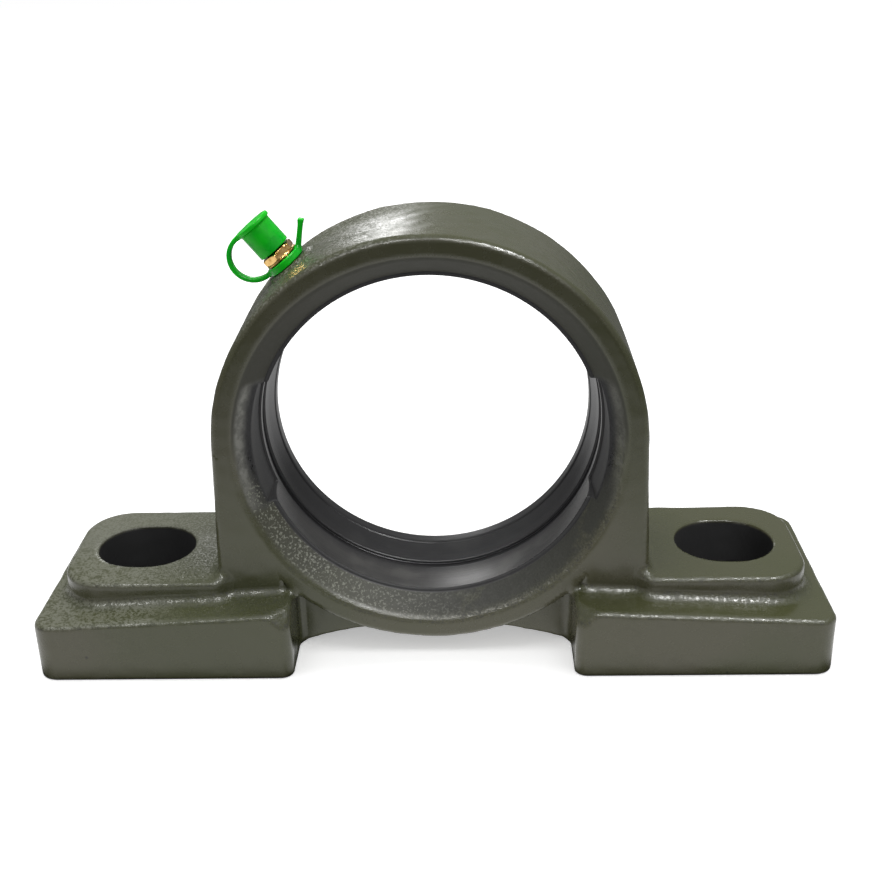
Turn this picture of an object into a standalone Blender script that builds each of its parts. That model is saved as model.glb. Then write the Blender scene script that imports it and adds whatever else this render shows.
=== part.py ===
"""Pillow-block bearing housing, empty, with a capped grease nipple.

A one-piece cast iron housing for a 35 mm shaft: a thick ring on two slotted
feet. Its spherical seat is empty. Two loading pockets open the front half of
the seat, so that a bearing goes in edge-on and is then turned square. A brass
grease nipple screws into the ring, and a soft plastic cap covers it. The cap's
strap ends in a ring that turns on the nipple's shank.

Frame: metres, +Z up, origin at the middle of the mounting plane, +X along the
feet, the bore along Y with its pocketed side at -Y.
"""
from math import acos, asin, atan2, cos, pi, radians, sin, sqrt

import bmesh
import bpy
from mathutils import Euler, Matrix, Vector

# ---------------------------------------------------------------- housing
LENGTH = 0.167            # over both feet
BASE_DEPTH = 0.048        # feet, front to back
AXIS_HEIGHT = 0.0476      # bore axis above the mounting plane
RING_RADIUS = 0.0442
RING_DEPTH = 0.029        # front face to back face
RING_EDGE = 0.0015        # rounding round both faces of the ring
CHEEK_ROOT = (0.010, 0.0088)   # heights at which the cheeks end, inside the feet
CHEEK_INSET = 0.002            # from the foot's inner end to the cheek's inner corner
CHEEK_MEET = 0.0006            # from the foot's inner end to the ring's round underside
CHEEK_SPREAD = 0.0015          # the cheeks stand this much wider at the bottom

FOOT_LENGTH = 0.054
FOOT_TOP_INNER = 0.0153   # height of the foot beside the arch
FOOT_TOP_OUTER = 0.0127   # height at the outer end
FOOT_CORNER = 0.0042      # plan corners at the outer end
FOOT_INNER_CORNER = 0.0026
FOOT_EDGE = 0.0013

BOLT_CENTRES = 0.127
SLOT_WIDTH = 0.0184
SLOT_LENGTH = 0.0212
SLOT_EDGE = 0.0006        # chamfer round the slot's mouth

BOSS_TOP = 0.019          # height of the pad that the bolt head sits on
BOSS_HALF_WIDTH = 0.0168
BOSS_START = 0.0440
BOSS_END = 0.0792
BOSS_CORNER = 0.0095      # plan corners at the outer end
BOSS_INNER_CORNER = 0.0025
BOSS_EDGE = 0.001
BOSS_ROOT = 0.004         # buried underside of the boss

CORE_WALL = 0.0055        # rim left standing round the cored underside
CORE_DEPTH = 0.008
CORE_CORNER = 0.0035
CORE_DRAFT = 0.96         # width at the top of the hollow against the bottom

WEB_HALF_DEPTH = 0.010    # recessed wall that joins the feet under the ring
WEB_HALF_LENGTH = 0.031
WEB_TOP = 0.018
ARCH_HALF_SPAN = 0.0292
ARCH_RISE = 0.0048
WEB_LIFT = 0.0004         # the web stands clear of the mounting plane

# ---------------------------------------------------------------- bore
SEAT_RADIUS = 0.036       # spherical, centred on the axis at mid depth
SEAT_FRONT = -0.009
SEAT_BACK = 0.0105
FLARE_MOUTH = 0.0399      # cast mouth at the front face
FLARE_ROOT = 0.0356
MOUTH_EDGE = 0.0008
BACK_BORE = 0.0343
BACK_ROUND = 0.0014
GROOVE_CENTRE = 0.0032    # grease groove, towards the back
GROOVE_WIDTH = 0.0024
GROOVE_DEPTH = 0.0006
POCKET_HALF_HEIGHT = 0.0132
POCKET_RADIUS = 0.0365    # the pockets' end walls, round the bore axis
POCKET_FLOOR = 0.0004     # just past mid depth

# ---------------------------------------------------------------- nipple
NIPPLE_ANGLE = radians(39.0)   # from the vertical, towards -X
NIPPLE_DEPTH_POS = 0.0015      # along Y
PAD_RADIUS = 0.0052
PAD_HEIGHT = 0.0445            # spot face, distance from the bore axis
PAD_ROOT = -0.004              # heights along the nipple from the spot face
HOLE_STEP = -0.0057
HOLE_CONE = 0.0009             # depth of the drill point below the thread
GREASE_HOLE = 0.0016
THREAD_RADIUS = 0.0030
THREAD_END = -0.0050
THREAD_CHAMFER = 0.0004
HEX_FLATS = 0.0064
HEX_START = 0.0019
HEX_END = 0.0038
FLANGE_RADIUS = 0.0034
FLANGE_HEIGHT = 0.00035
HEX_LOW_CHAMFER = 0.0003       # height of the turned-off corners, below and above
HEX_HIGH_CHAMFER = 0.0004
HEX_LOW_SCALE = 0.93           # width at the two ends against the middle
HEX_HIGH_SCALE = 0.90
NECK_RADIUS = 0.0021
HEAD_RADIUS = 0.00265
HEAD_START = 0.0055            # where the head has its full width
HEAD_TAPER = 0.0006            # cone between neck and head
HEAD_NOSE = 0.0011             # cone at the outer end
HEAD_END = 0.0093
NIPPLE_BORE = 0.0013
NIPPLE_MOUTH = 0.00075
NOSE_LIP = 0.0005
BALL_SEAT = 0.0007             # length of the cone that the ball closes
CRIMP_BORE = 0.0008
CRIMP_LENGTH = 0.0007
BALL_RADIUS = 0.00095
BALL_HEIGHT = 0.0069
SPRING_WIRE = 0.00015          # wire radius
SPRING_RADIUS = 0.00075
SPRING_TURNS = 8
SPRING_POINTS_PER_TURN = 10

# ---------------------------------------------------------------- cap
CAP_MOUTH = 0.0041             # heights along the nipple
CAP_TOP = 0.0110
CAP_RADIUS = 0.0035
CAP_FLANGE_RADIUS = 0.0039
CAP_FLANGE = 0.0009
CAP_WALL = 0.00052
CAP_EDGE = 0.0002
CAP_INNER_ROUND = 0.0004
STRAP_RING_OUTER = 0.0041
STRAP_RING_LOW = 0.0003
STRAP_RING_HIGH = 0.0016
STRAP_RING_EDGE = 0.0002
STRAP_THICK = 0.0010
STRAP_WIDTH = 0.0020
STRAP_EDGE = 0.0002
TAIL_START = (0.0034, 0.0009)  # across and along the nipple
TAIL_END = (0.0083, 0.0053)
TAIL_THICK = 0.0010
TAIL_HALF_WIDTH = 0.0008
TAIL_ROOT = 0.0003             # buried in the ring

GAP = 0.0003                   # left between pieces that touch
CUT_PAST = 0.002               # how far a cutter reaches past a face
ROUND_STEPS = 96               # facets round the ring
BORE_STEPS = 72
SMALL_STEPS = 32

LIBRARY = "pillow_block_housing"
TOOLS = "cutters_and_guides"


# ---------------------------------------------------------------- scene
def clear_scene():
    for obj in list(bpy.data.objects):
        bpy.data.objects.remove(obj, do_unlink=True)


def new_collection(name):
    collection = bpy.data.collections.new(name)
    bpy.context.scene.collection.children.link(collection)
    return collection


def principled(name, colour, roughness, metallic):
    material = bpy.data.materials.new(name)
    material.use_nodes = True
    shader = material.node_tree.nodes["Principled BSDF"]
    shader.inputs["Base Color"].default_value = (*colour, 1.0)
    shader.inputs["Roughness"].default_value = roughness
    shader.inputs["Metallic"].default_value = metallic
    return material


# ---------------------------------------------------------------- outlines
def arc(centre, radius, start, end, steps):
    """Points on an arc, both ends included."""
    points = []
    for i in range(steps + 1):
        angle = start + (end - start) * i / steps
        points.append((centre[0] + radius * cos(angle), centre[1] + radius * sin(angle)))
    return points


def rounded_box(x0, x1, y0, y1, corner, steps=5):
    points = []
    points += arc((x1 - corner, y1 - corner), corner, 0, pi / 2, steps)
    points += arc((x0 + corner, y1 - corner), corner, pi / 2, pi, steps)
    points += arc((x0 + corner, y0 + corner), corner, pi, 1.5 * pi, steps)
    points += arc((x1 - corner, y0 + corner), corner, 1.5 * pi, 2 * pi, steps)
    return points


def block_outline(inner, outer, half_width, inner_corner, outer_corner):
    """Plan of a foot or boss: its inner and outer corners rounded differently."""
    inner_y = half_width - inner_corner
    outer_y = half_width - outer_corner
    outline = arc((outer - outer_corner, outer_y), outer_corner, 0, pi / 2, 7)
    outline += arc((inner + inner_corner, inner_y), inner_corner, pi / 2, pi, 4)
    outline += arc((inner + inner_corner, -inner_y), inner_corner, pi, 1.5 * pi, 4)
    outline += arc((outer - outer_corner, -outer_y), outer_corner, 1.5 * pi, 2 * pi, 7)
    return outline


def stadium(length, width, steps=12):
    radius = width / 2
    shift = length / 2 - radius
    return (arc((shift, 0), radius, -pi / 2, pi / 2, steps)
            + arc((-shift, 0), radius, pi / 2, 1.5 * pi, steps))


# ---------------------------------------------------------------- solids
def mesh_from(source, name):
    """A cleaned mesh object made from another object's evaluated shape."""
    depsgraph = bpy.context.evaluated_depsgraph_get()
    mesh = bpy.data.meshes.new_from_object(source.evaluated_get(depsgraph))
    bm = bmesh.new()
    bm.from_mesh(mesh)
    bmesh.ops.remove_doubles(bm, verts=bm.verts, dist=1e-6)
    bmesh.ops.recalc_face_normals(bm, faces=bm.faces)
    bm.to_mesh(mesh)
    bm.free()
    mesh.name = name
    piece = bpy.data.objects.new(name, mesh)
    piece.matrix_world = source.matrix_world
    bpy.data.objects.remove(source, do_unlink=True)
    bpy.context.scene.collection.objects.link(piece)
    bpy.context.view_layer.update()
    return piece


def plate(name, outline, low, high, edge=0.0):
    """A flat outline in XY, thickened along Z from low to high."""
    curve = bpy.data.curves.new(name + "_outline", "CURVE")
    curve.dimensions = "2D"
    curve.fill_mode = "BOTH"
    curve.resolution_u = 1
    curve.render_resolution_u = 0
    curve.extrude = (high - low) / 2 - edge
    if edge > 0:
        curve.bevel_depth = edge
        curve.bevel_resolution = 1
        curve.offset = -edge
    spline = curve.splines.new("POLY")
    spline.points.add(len(outline) - 1)
    for point, (x, y) in zip(spline.points, outline):
        point.co = (x, y, 0.0, 1.0)
    spline.use_cyclic_u = True
    source = bpy.data.objects.new(name + "_source", curve)
    bpy.context.scene.collection.objects.link(source)
    bpy.context.view_layer.update()
    piece = mesh_from(source, name)
    piece.data.transform(Matrix.Translation((0, 0, (low + high) / 2)))
    return piece


def turned(name, profile, steps, closed=False):
    """A profile of (radius, height) pairs turned about Z."""
    mesh = bpy.data.meshes.new(name + "_profile")
    vertices = [(radius, 0.0, height) for radius, height in profile]
    edges = [(i, i + 1) for i in range(len(vertices) - 1)]
    if closed:
        edges.append((len(vertices) - 1, 0))
    mesh.from_pydata(vertices, edges, [])
    source = bpy.data.objects.new(name + "_source", mesh)
    bpy.context.scene.collection.objects.link(source)
    screw = source.modifiers.new("Turn", "SCREW")
    screw.steps = steps
    screw.render_steps = steps
    screw.use_merge_vertices = True
    screw.merge_threshold = 1e-6
    bpy.context.view_layer.update()
    return mesh_from(source, name)


def wire(name, points, radius):
    """A round wire along a poly line."""
    curve = bpy.data.curves.new(name + "_path", "CURVE")
    curve.dimensions = "3D"
    curve.bevel_depth = radius
    curve.bevel_resolution = 2
    curve.render_resolution_u = 0
    curve.use_fill_caps = True
    spline = curve.splines.new("POLY")
    spline.points.add(len(points) - 1)
    for point, position in zip(spline.points, points):
        point.co = (*position, 1.0)
    source = bpy.data.objects.new(name + "_source", curve)
    bpy.context.scene.collection.objects.link(source)
    bpy.context.view_layer.update()
    return mesh_from(source, name)


def rod(name, radius, low, high, steps):
    bm = bmesh.new()
    matrix = Matrix.Translation((0, 0, (low + high) / 2))
    bmesh.ops.create_cone(bm, cap_ends=True, segments=steps, radius1=radius,
                          radius2=radius, depth=high - low, matrix=matrix)
    return object_from(bm, name)


def object_from(bm, name):
    mesh = bpy.data.meshes.new(name)
    bm.to_mesh(mesh)
    bm.free()
    piece = bpy.data.objects.new(name, mesh)
    bpy.context.scene.collection.objects.link(piece)
    return piece


def turn(piece, x=0.0, y=0.0, z=0.0):
    """Rotates a mesh about the origin."""
    piece.data.transform(Euler((x, y, z)).to_matrix().to_4x4())
    return piece


def shift(piece, x=0.0, y=0.0, z=0.0):
    piece.data.transform(Matrix.Translation((x, y, z)))
    return piece


def upright(piece):
    """Stands a shape drawn in XY up in XZ, its thickness along Y."""
    return turn(piece, x=pi / 2)


def triangulate(piece):
    """Flat facets only, so that the Booleans stay closed."""
    if "Facets" not in piece.modifiers:
        piece.modifiers.new("Facets", "TRIANGULATE")


def combine(target, tool, operation, tools):
    """Adds a Boolean; the tool is kept as a hidden guide."""
    triangulate(target)
    triangulate(tool)
    modifier = target.modifiers.new(tool.name, "BOOLEAN")
    modifier.operation = operation
    modifier.solver = "EXACT"
    modifier.object = tool
    file_under(tool, tools)
    tool.hide_render = True
    tool.display_type = "WIRE"


def file_under(piece, collection):
    for owner in list(piece.users_collection):
        owner.objects.unlink(piece)
    collection.objects.link(piece)


def round_edges(piece, width, segments, angle=40):
    bevel = piece.modifiers.new("Rounding", "BEVEL")
    bevel.width = width
    bevel.segments = segments
    bevel.limit_method = "ANGLE"
    bevel.angle_limit = radians(angle)


def finish(piece, material, collection, smooth_angle=35):
    file_under(piece, collection)
    piece.data.materials.clear()
    piece.data.materials.append(material)
    piece.data.shade_smooth()
    piece.data.set_sharp_from_angle(angle=radians(smooth_angle))


# ---------------------------------------------------------------- housing
def ring_block():
    """The ring, with straight cheeks from the axis down into the feet."""
    inner_root, outer_root = CHEEK_ROOT
    inner_end = LENGTH / 2 - FOOT_LENGTH
    meet = acos((inner_end + CHEEK_MEET) / RING_RADIUS)
    outline = arc((0, AXIS_HEIGHT), RING_RADIUS, 0, pi, ROUND_STEPS // 2)
    outline += [(-RING_RADIUS - CHEEK_SPREAD, outer_root), (-inner_end - CHEEK_INSET, inner_root)]
    lower_steps = round(ROUND_STEPS * (pi - 2 * meet) / (2 * pi))
    outline += arc((0, AXIS_HEIGHT), RING_RADIUS, pi + meet, 2 * pi - meet, lower_steps)
    outline += [(inner_end + CHEEK_INSET, inner_root), (RING_RADIUS + CHEEK_SPREAD, outer_root)]
    block = plate("housing", outline, -RING_DEPTH / 2, RING_DEPTH / 2)
    round_edges(block, RING_EDGE, 2)
    return upright(block)


def foot(side):
    inner = LENGTH / 2 - FOOT_LENGTH
    outline = block_outline(inner, LENGTH / 2, BASE_DEPTH / 2, FOOT_INNER_CORNER, FOOT_CORNER)
    piece = plate("foot_guide", outline, 0.0, FOOT_TOP_INNER)
    slope = (FOOT_TOP_OUTER - FOOT_TOP_INNER) / FOOT_LENGTH
    for vertex in piece.data.vertices:
        if vertex.co.z > FOOT_TOP_INNER / 2:
            vertex.co.z += slope * (vertex.co.x - inner)
    round_edges(piece, FOOT_EDGE, 2)
    return mirrored(piece, side)


def boss(side):
    outline = block_outline(BOSS_START, BOSS_END, BOSS_HALF_WIDTH, BOSS_INNER_CORNER, BOSS_CORNER)
    piece = plate("boss_guide", outline, BOSS_ROOT, BOSS_TOP)
    round_edges(piece, BOSS_EDGE, 2)
    return mirrored(piece, side)


def mirrored(piece, side):
    """The shape itself for side +1, turned half round Z for side -1."""
    if side < 0:
        turn(piece, z=pi)
    return piece


def web():
    """The recessed wall under the ring, arched between the feet."""
    sagitta_radius = (ARCH_HALF_SPAN ** 2 + ARCH_RISE ** 2) / (2 * ARCH_RISE)
    centre = (0, ARCH_RISE - sagitta_radius)
    half_angle = asin(ARCH_HALF_SPAN / sagitta_radius)
    outline = arc(centre, sagitta_radius, pi / 2 + half_angle, pi / 2 - half_angle, 18)
    # The ends sit just above the mounting plane, inside the feet.
    outline = [(x, max(z, WEB_LIFT)) for x, z in outline]
    outline += [(WEB_HALF_LENGTH, WEB_LIFT), (WEB_HALF_LENGTH, WEB_TOP)]
    outline += [(-WEB_HALF_LENGTH, WEB_TOP), (-WEB_HALF_LENGTH, WEB_LIFT)]
    return upright(plate("web_guide", outline, -WEB_HALF_DEPTH, WEB_HALF_DEPTH))


def seat_radius(y):
    return sqrt(SEAT_RADIUS ** 2 - y ** 2)


def seat_profile(low, high, steps):
    """Points on the spherical seat between two depths."""
    points = []
    for i in range(steps + 1):
        y = low + (high - low) * i / steps
        points.append((seat_radius(y), y))
    return points


def bore_cutter():
    """The whole bore: front flare, spherical seat with its groove, back mouth."""
    half = RING_DEPTH / 2
    beyond = half + CUT_PAST
    groove_low = GROOVE_CENTRE - GROOVE_WIDTH / 2
    groove_high = GROOVE_CENTRE + GROOVE_WIDTH / 2
    groove_side = GROOVE_WIDTH * 0.2
    profile = [
        (0.0, -beyond),
        (FLARE_MOUTH + MOUTH_EDGE, -beyond),
        (FLARE_MOUTH + MOUTH_EDGE, -half),
        (FLARE_MOUTH, -half + MOUTH_EDGE),
        (FLARE_ROOT, SEAT_FRONT - GAP),
        (seat_radius(SEAT_FRONT), SEAT_FRONT - GAP / 3),
    ]
    profile += seat_profile(SEAT_FRONT, groove_low, 5)
    profile.append((seat_radius(groove_low + groove_side) + GROOVE_DEPTH, groove_low + groove_side))
    profile.append((seat_radius(groove_high - groove_side) + GROOVE_DEPTH, groove_high - groove_side))
    profile += seat_profile(groove_high, SEAT_BACK, 3)
    profile += [
        (BACK_BORE, half - BACK_ROUND),
        (BACK_BORE + BACK_ROUND, half),
        (BACK_BORE + BACK_ROUND, beyond),
        (0.0, beyond),
    ]
    cutter = turned("bore_cutter", profile, BORE_STEPS)
    turn(cutter, x=-pi / 2)
    return shift(cutter, z=AXIS_HEIGHT)


def pocket_cutter():
    """Loading pockets at both ends of the horizontal diameter, front half only."""
    half_angle = asin(POCKET_HALF_HEIGHT / POCKET_RADIUS)
    outline = arc((0, 0), POCKET_RADIUS, -half_angle, half_angle, 8)
    outline += arc((0, 0), POCKET_RADIUS, pi - half_angle, pi + half_angle, 8)
    cutter = plate("pocket_cutter", outline, -POCKET_FLOOR, RING_DEPTH / 2 + CUT_PAST)
    upright(cutter)
    return shift(cutter, z=AXIS_HEIGHT)


def slot_cutter(side):
    """A bolt slot, right through the foot."""
    cutter = plate("slot_cutter", stadium(SLOT_LENGTH, SLOT_WIDTH), -CUT_PAST, BOSS_TOP + CUT_PAST)
    return shift(cutter, x=side * BOLT_CENTRES / 2)


def slot_chamfer(side):
    """Widens the top of a slot by a shallow tapered ring."""
    reach = SLOT_EDGE
    wide = (SLOT_LENGTH + 4 * reach, SLOT_WIDTH + 4 * reach)
    low = BOSS_TOP - 2 * reach
    high = BOSS_TOP + reach
    cutter = plate("slot_mouth_cutter", stadium(*wide), low, high)
    narrow_x = (SLOT_LENGTH - 2 * reach) / wide[0]
    narrow_y = (SLOT_WIDTH - 2 * reach) / wide[1]
    for vertex in cutter.data.vertices:
        if vertex.co.z < BOSS_TOP:
            vertex.co.x *= narrow_x
            vertex.co.y *= narrow_y
    return shift(cutter, x=side * BOLT_CENTRES / 2)


def core_cutter(side):
    """The hollow under each foot."""
    inner = LENGTH / 2 - FOOT_LENGTH + CORE_WALL
    outer = LENGTH / 2 - CORE_WALL
    half = BASE_DEPTH / 2 - CORE_WALL
    outline = rounded_box(inner, outer, -half, half, CORE_CORNER)
    cutter = plate("core_cutter", outline, -CUT_PAST, CORE_DEPTH)
    middle = (inner + outer) / 2
    for vertex in cutter.data.vertices:
        if vertex.co.z > 0:
            vertex.co.x = middle + (vertex.co.x - middle) * CORE_DRAFT
            vertex.co.y *= CORE_DRAFT
    return mirrored(cutter, side)


def nipple_matrix():
    """Local Z runs out along the nipple, from the spot face; local X lies across."""
    axis = Vector((-sin(NIPPLE_ANGLE), 0.0, cos(NIPPLE_ANGLE)))
    base = Vector((0.0, NIPPLE_DEPTH_POS, AXIS_HEIGHT)) + axis * PAD_HEIGHT
    return Matrix.Translation(base) @ Euler((0.0, -NIPPLE_ANGLE, 0.0)).to_matrix().to_4x4()


def nipple_pad():
    piece = rod("nipple_pad_guide", PAD_RADIUS, PAD_ROOT, 0.0, SMALL_STEPS + 8)
    piece.data.transform(nipple_matrix())
    return piece


def nipple_hole():
    """The threaded hole, stepping down to a grease hole into the seat's groove."""
    through = SEAT_RADIUS - PAD_HEIGHT - CUT_PAST
    profile = [
        (0.0, CUT_PAST),
        (THREAD_RADIUS + GAP, CUT_PAST),
        (THREAD_RADIUS + GAP, HOLE_STEP),
        (GREASE_HOLE, HOLE_STEP - HOLE_CONE),
        (GREASE_HOLE, through),
        (0.0, through),
    ]
    cutter = turned("nipple_hole_cutter", profile, SMALL_STEPS)
    cutter.data.transform(nipple_matrix())
    return cutter


def housing(tools):
    piece = ring_block()
    for side in (1, -1):
        combine(piece, foot(side), "UNION", tools)
        combine(piece, boss(side), "UNION", tools)
    combine(piece, web(), "UNION", tools)
    combine(piece, nipple_pad(), "UNION", tools)
    combine(piece, bore_cutter(), "DIFFERENCE", tools)
    combine(piece, pocket_cutter(), "DIFFERENCE", tools)
    for side in (1, -1):
        combine(piece, core_cutter(side), "DIFFERENCE", tools)
        combine(piece, slot_cutter(side), "DIFFERENCE", tools)
        combine(piece, slot_chamfer(side), "DIFFERENCE", tools)
    combine(piece, nipple_hole(), "DIFFERENCE", tools)
    return piece


# ---------------------------------------------------------------- nipple
def nipple_body(tools):
    """Shank, hexagon, neck and head, bored through for the ball and spring."""
    seat_low = BALL_HEIGHT + BALL_RADIUS / 2
    seat_high = seat_low + BALL_SEAT
    profile = [
        (CRIMP_BORE, THREAD_END),
        (THREAD_RADIUS - THREAD_CHAMFER, THREAD_END),
        (THREAD_RADIUS, THREAD_END + THREAD_CHAMFER),
        (THREAD_RADIUS, HEX_START),
        (FLANGE_RADIUS, HEX_START),
        (FLANGE_RADIUS, HEX_START + FLANGE_HEIGHT),
        (NECK_RADIUS, HEX_START + FLANGE_HEIGHT),
        (NECK_RADIUS, HEAD_START - HEAD_TAPER),
        (HEAD_RADIUS, HEAD_START),
        (HEAD_RADIUS, HEAD_END - HEAD_NOSE),
        (NIPPLE_MOUTH + NOSE_LIP, HEAD_END),
        (NIPPLE_MOUTH, HEAD_END),
        (NIPPLE_MOUTH, seat_high),
        (NIPPLE_BORE, seat_low),
        (NIPPLE_BORE, THREAD_END + CRIMP_LENGTH),
        (CRIMP_BORE, THREAD_END + CRIMP_LENGTH),
    ]
    body = turned("nipple_body", profile, SMALL_STEPS, closed=True)
    combine(body, hexagon(), "UNION", tools)
    return body


def hexagon():
    """The spanner hexagon as a collar round the neck, its corners turned off."""
    corner = HEX_FLATS / 2 / cos(pi / 6)
    low = HEX_START + FLANGE_HEIGHT - THREAD_CHAMFER / 4
    bore = NECK_RADIUS - GAP
    bm = bmesh.new()
    loops = []
    for radius, height in (
        (corner * HEX_LOW_SCALE, low),
        (corner, low + HEX_LOW_CHAMFER),
        (corner, HEX_END - HEX_HIGH_CHAMFER),
        (corner * HEX_HIGH_SCALE, HEX_END),
        (bore, HEX_END),
        (bore, low),
    ):
        loop = []
        for x, y in arc((0, 0), radius, pi / 6, pi / 6 + 5 * pi / 3, 5):
            loop.append(bm.verts.new((x, y, height)))
        loops.append(loop)
    for k, first in enumerate(loops):
        second = loops[(k + 1) % len(loops)]
        for i in range(6):
            j = (i + 1) % 6
            bm.faces.new((first[i], first[j], second[j], second[i]))
    bmesh.ops.recalc_face_normals(bm, faces=bm.faces)
    return object_from(bm, "hexagon_guide")


def check_ball():
    bm = bmesh.new()
    bmesh.ops.create_uvsphere(bm, u_segments=20, v_segments=12, radius=BALL_RADIUS)
    return object_from(bm, "nipple_check_ball")


def nipple_spring():
    """A compression spring between the crimped end and the ball."""
    low = THREAD_END + CRIMP_LENGTH + GAP / 2 + SPRING_WIRE
    high = BALL_HEIGHT - BALL_RADIUS - GAP / 2 - SPRING_WIRE
    count = SPRING_TURNS * SPRING_POINTS_PER_TURN
    points = []
    for i in range(count + 1):
        angle = 2 * pi * i / SPRING_POINTS_PER_TURN
        height = low + (high - low) * i / count
        points.append((SPRING_RADIUS * cos(angle), SPRING_RADIUS * sin(angle), height))
    return wire("nipple_spring", points, SPRING_WIRE)


# ---------------------------------------------------------------- cap
def dust_cap():
    """A thin cup, open downwards, with a flanged lid."""
    inner = CAP_RADIUS - CAP_WALL
    lid = CAP_TOP - CAP_FLANGE
    profile = [
        (0.0, CAP_TOP),
        (CAP_FLANGE_RADIUS - CAP_EDGE, CAP_TOP),
        (CAP_FLANGE_RADIUS, CAP_TOP - CAP_EDGE),
        (CAP_FLANGE_RADIUS, lid),
        (CAP_RADIUS, lid - CAP_EDGE),
        (CAP_RADIUS, CAP_MOUTH + CAP_EDGE),
        (CAP_RADIUS - CAP_EDGE / 2, CAP_MOUTH),
        (inner, CAP_MOUTH),
        (inner, lid - CAP_INNER_ROUND),
        (inner - CAP_INNER_ROUND, lid),
        (0.0, lid),
    ]
    return turned("dust_cap", profile, SMALL_STEPS + 8)


def strap_geometry():
    """Centre and radius of the strap's half circle, across and along the nipple."""
    low = (STRAP_RING_LOW + STRAP_RING_HIGH) / 2
    high = CAP_TOP - CAP_FLANGE / 2
    return (-CAP_FLANGE_RADIUS - GAP * 2, (low + high) / 2), (high - low) / 2


def cap_strap():
    """A flat strap bent in a half circle from the cap's lid to the ring."""
    centre, radius = strap_geometry()
    half = STRAP_THICK / 2
    outline = arc(centre, radius + half, pi / 2, 1.5 * pi, 22)
    outline += arc(centre, radius - half, 1.5 * pi, pi / 2, 22)
    strap = plate("cap_strap", outline, -STRAP_WIDTH / 2, STRAP_WIDTH / 2, STRAP_EDGE)
    return upright(strap)


def strap_ring(tools):
    """The ring under the hexagon, with a pull tail standing off the far side."""
    inner = THREAD_RADIUS + GAP
    rim = STRAP_RING_OUTER - STRAP_RING_EDGE
    profile = [
        (inner, STRAP_RING_HIGH),
        (rim, STRAP_RING_HIGH),
        (STRAP_RING_OUTER, STRAP_RING_HIGH - STRAP_RING_EDGE),
        (STRAP_RING_OUTER, STRAP_RING_LOW + STRAP_RING_EDGE),
        (rim, STRAP_RING_LOW),
        (inner, STRAP_RING_LOW),
    ]
    ring = turned("cap_strap_ring", profile, SMALL_STEPS, closed=True)
    run = TAIL_END[0] - TAIL_START[0]
    rise = TAIL_END[1] - TAIL_START[1]
    length = sqrt(run ** 2 + rise ** 2)
    outline = rounded_box(-TAIL_ROOT, length, -TAIL_THICK / 2, TAIL_THICK / 2, TAIL_THICK * 0.3, 3)
    tail = plate("tail_guide", outline, -TAIL_HALF_WIDTH, TAIL_HALF_WIDTH)
    turn(tail, z=atan2(rise, run))
    upright(tail)
    shift(tail, x=TAIL_START[0], z=TAIL_START[1])
    combine(ring, tail, "UNION", tools)
    return ring


# ---------------------------------------------------------------- assembly
def main():
    clear_scene()
    parts = new_collection(LIBRARY)
    tools = new_collection(TOOLS)
    cast_paint = principled("cast_paint", (0.105, 0.11, 0.083), 0.33, 0.0)
    brass = principled("brass", (0.72, 0.52, 0.20), 0.28, 1.0)
    ball_steel = principled("ball_steel", (0.56, 0.56, 0.58), 0.18, 1.0)
    spring_steel = principled("spring_steel", (0.42, 0.42, 0.44), 0.30, 1.0)
    green_plastic = principled("green_plastic", (0.0, 0.36, 0.03), 0.36, 0.0)

    finish(housing(tools), cast_paint, parts)

    nipple = bpy.data.objects.new("nipple_axis", None)
    parts.objects.link(nipple)
    nipple.matrix_world = nipple_matrix()
    nipple.empty_display_size = 0.01
    bpy.context.view_layer.update()

    ball = check_ball()
    ball.location = (0.0, 0.0, BALL_HEIGHT)
    for piece, material in (
        (nipple_body(tools), brass),
        (ball, ball_steel),
        (nipple_spring(), spring_steel),
        (dust_cap(), green_plastic),
        (cap_strap(), green_plastic),
        (strap_ring(tools), green_plastic),
    ):
        finish(piece, material, parts)
        piece.parent = nipple
    for guide in tools.objects:
        if guide.name in ("hexagon_guide", "tail_guide"):
            guide.parent = nipple
    bpy.context.view_layer.update()


main()
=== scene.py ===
"""Looks of an empty pillow-block bearing housing with a capped grease nipple.

The casting, the nipple, the cap and the strap's ring are meshed from distance
functions: rounded bodies joined with fillets, as a foundry pattern or a mould
is built up, less the machined, cored and drilled hollows. The bore's wall is a
finer grid set into the casting. The strap and the spring are swept along paths.
All lengths are in metres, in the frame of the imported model.
"""
from math import asin, cos, pi, radians, sin, sqrt

import bpy
import numpy as np
from mathutils import Euler, Matrix, Vector


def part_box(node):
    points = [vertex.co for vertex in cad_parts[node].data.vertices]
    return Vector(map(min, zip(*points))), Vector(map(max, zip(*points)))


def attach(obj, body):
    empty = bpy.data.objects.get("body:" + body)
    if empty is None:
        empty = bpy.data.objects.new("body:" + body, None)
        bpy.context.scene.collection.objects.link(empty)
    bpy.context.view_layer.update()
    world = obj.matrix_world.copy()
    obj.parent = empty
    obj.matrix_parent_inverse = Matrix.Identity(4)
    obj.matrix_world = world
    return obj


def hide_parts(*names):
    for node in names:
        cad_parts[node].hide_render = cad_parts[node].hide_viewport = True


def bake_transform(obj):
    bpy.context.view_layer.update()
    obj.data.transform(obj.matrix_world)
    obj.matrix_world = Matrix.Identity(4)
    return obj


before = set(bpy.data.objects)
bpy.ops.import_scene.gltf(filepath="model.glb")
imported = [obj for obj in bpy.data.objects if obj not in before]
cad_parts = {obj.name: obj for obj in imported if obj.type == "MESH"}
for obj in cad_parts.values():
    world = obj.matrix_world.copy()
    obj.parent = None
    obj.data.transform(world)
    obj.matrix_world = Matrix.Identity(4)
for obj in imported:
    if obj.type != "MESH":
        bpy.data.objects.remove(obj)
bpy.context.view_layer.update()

# ------------------------------------------------------------ driving sizes
housing_low, housing_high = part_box("housing")

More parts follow.
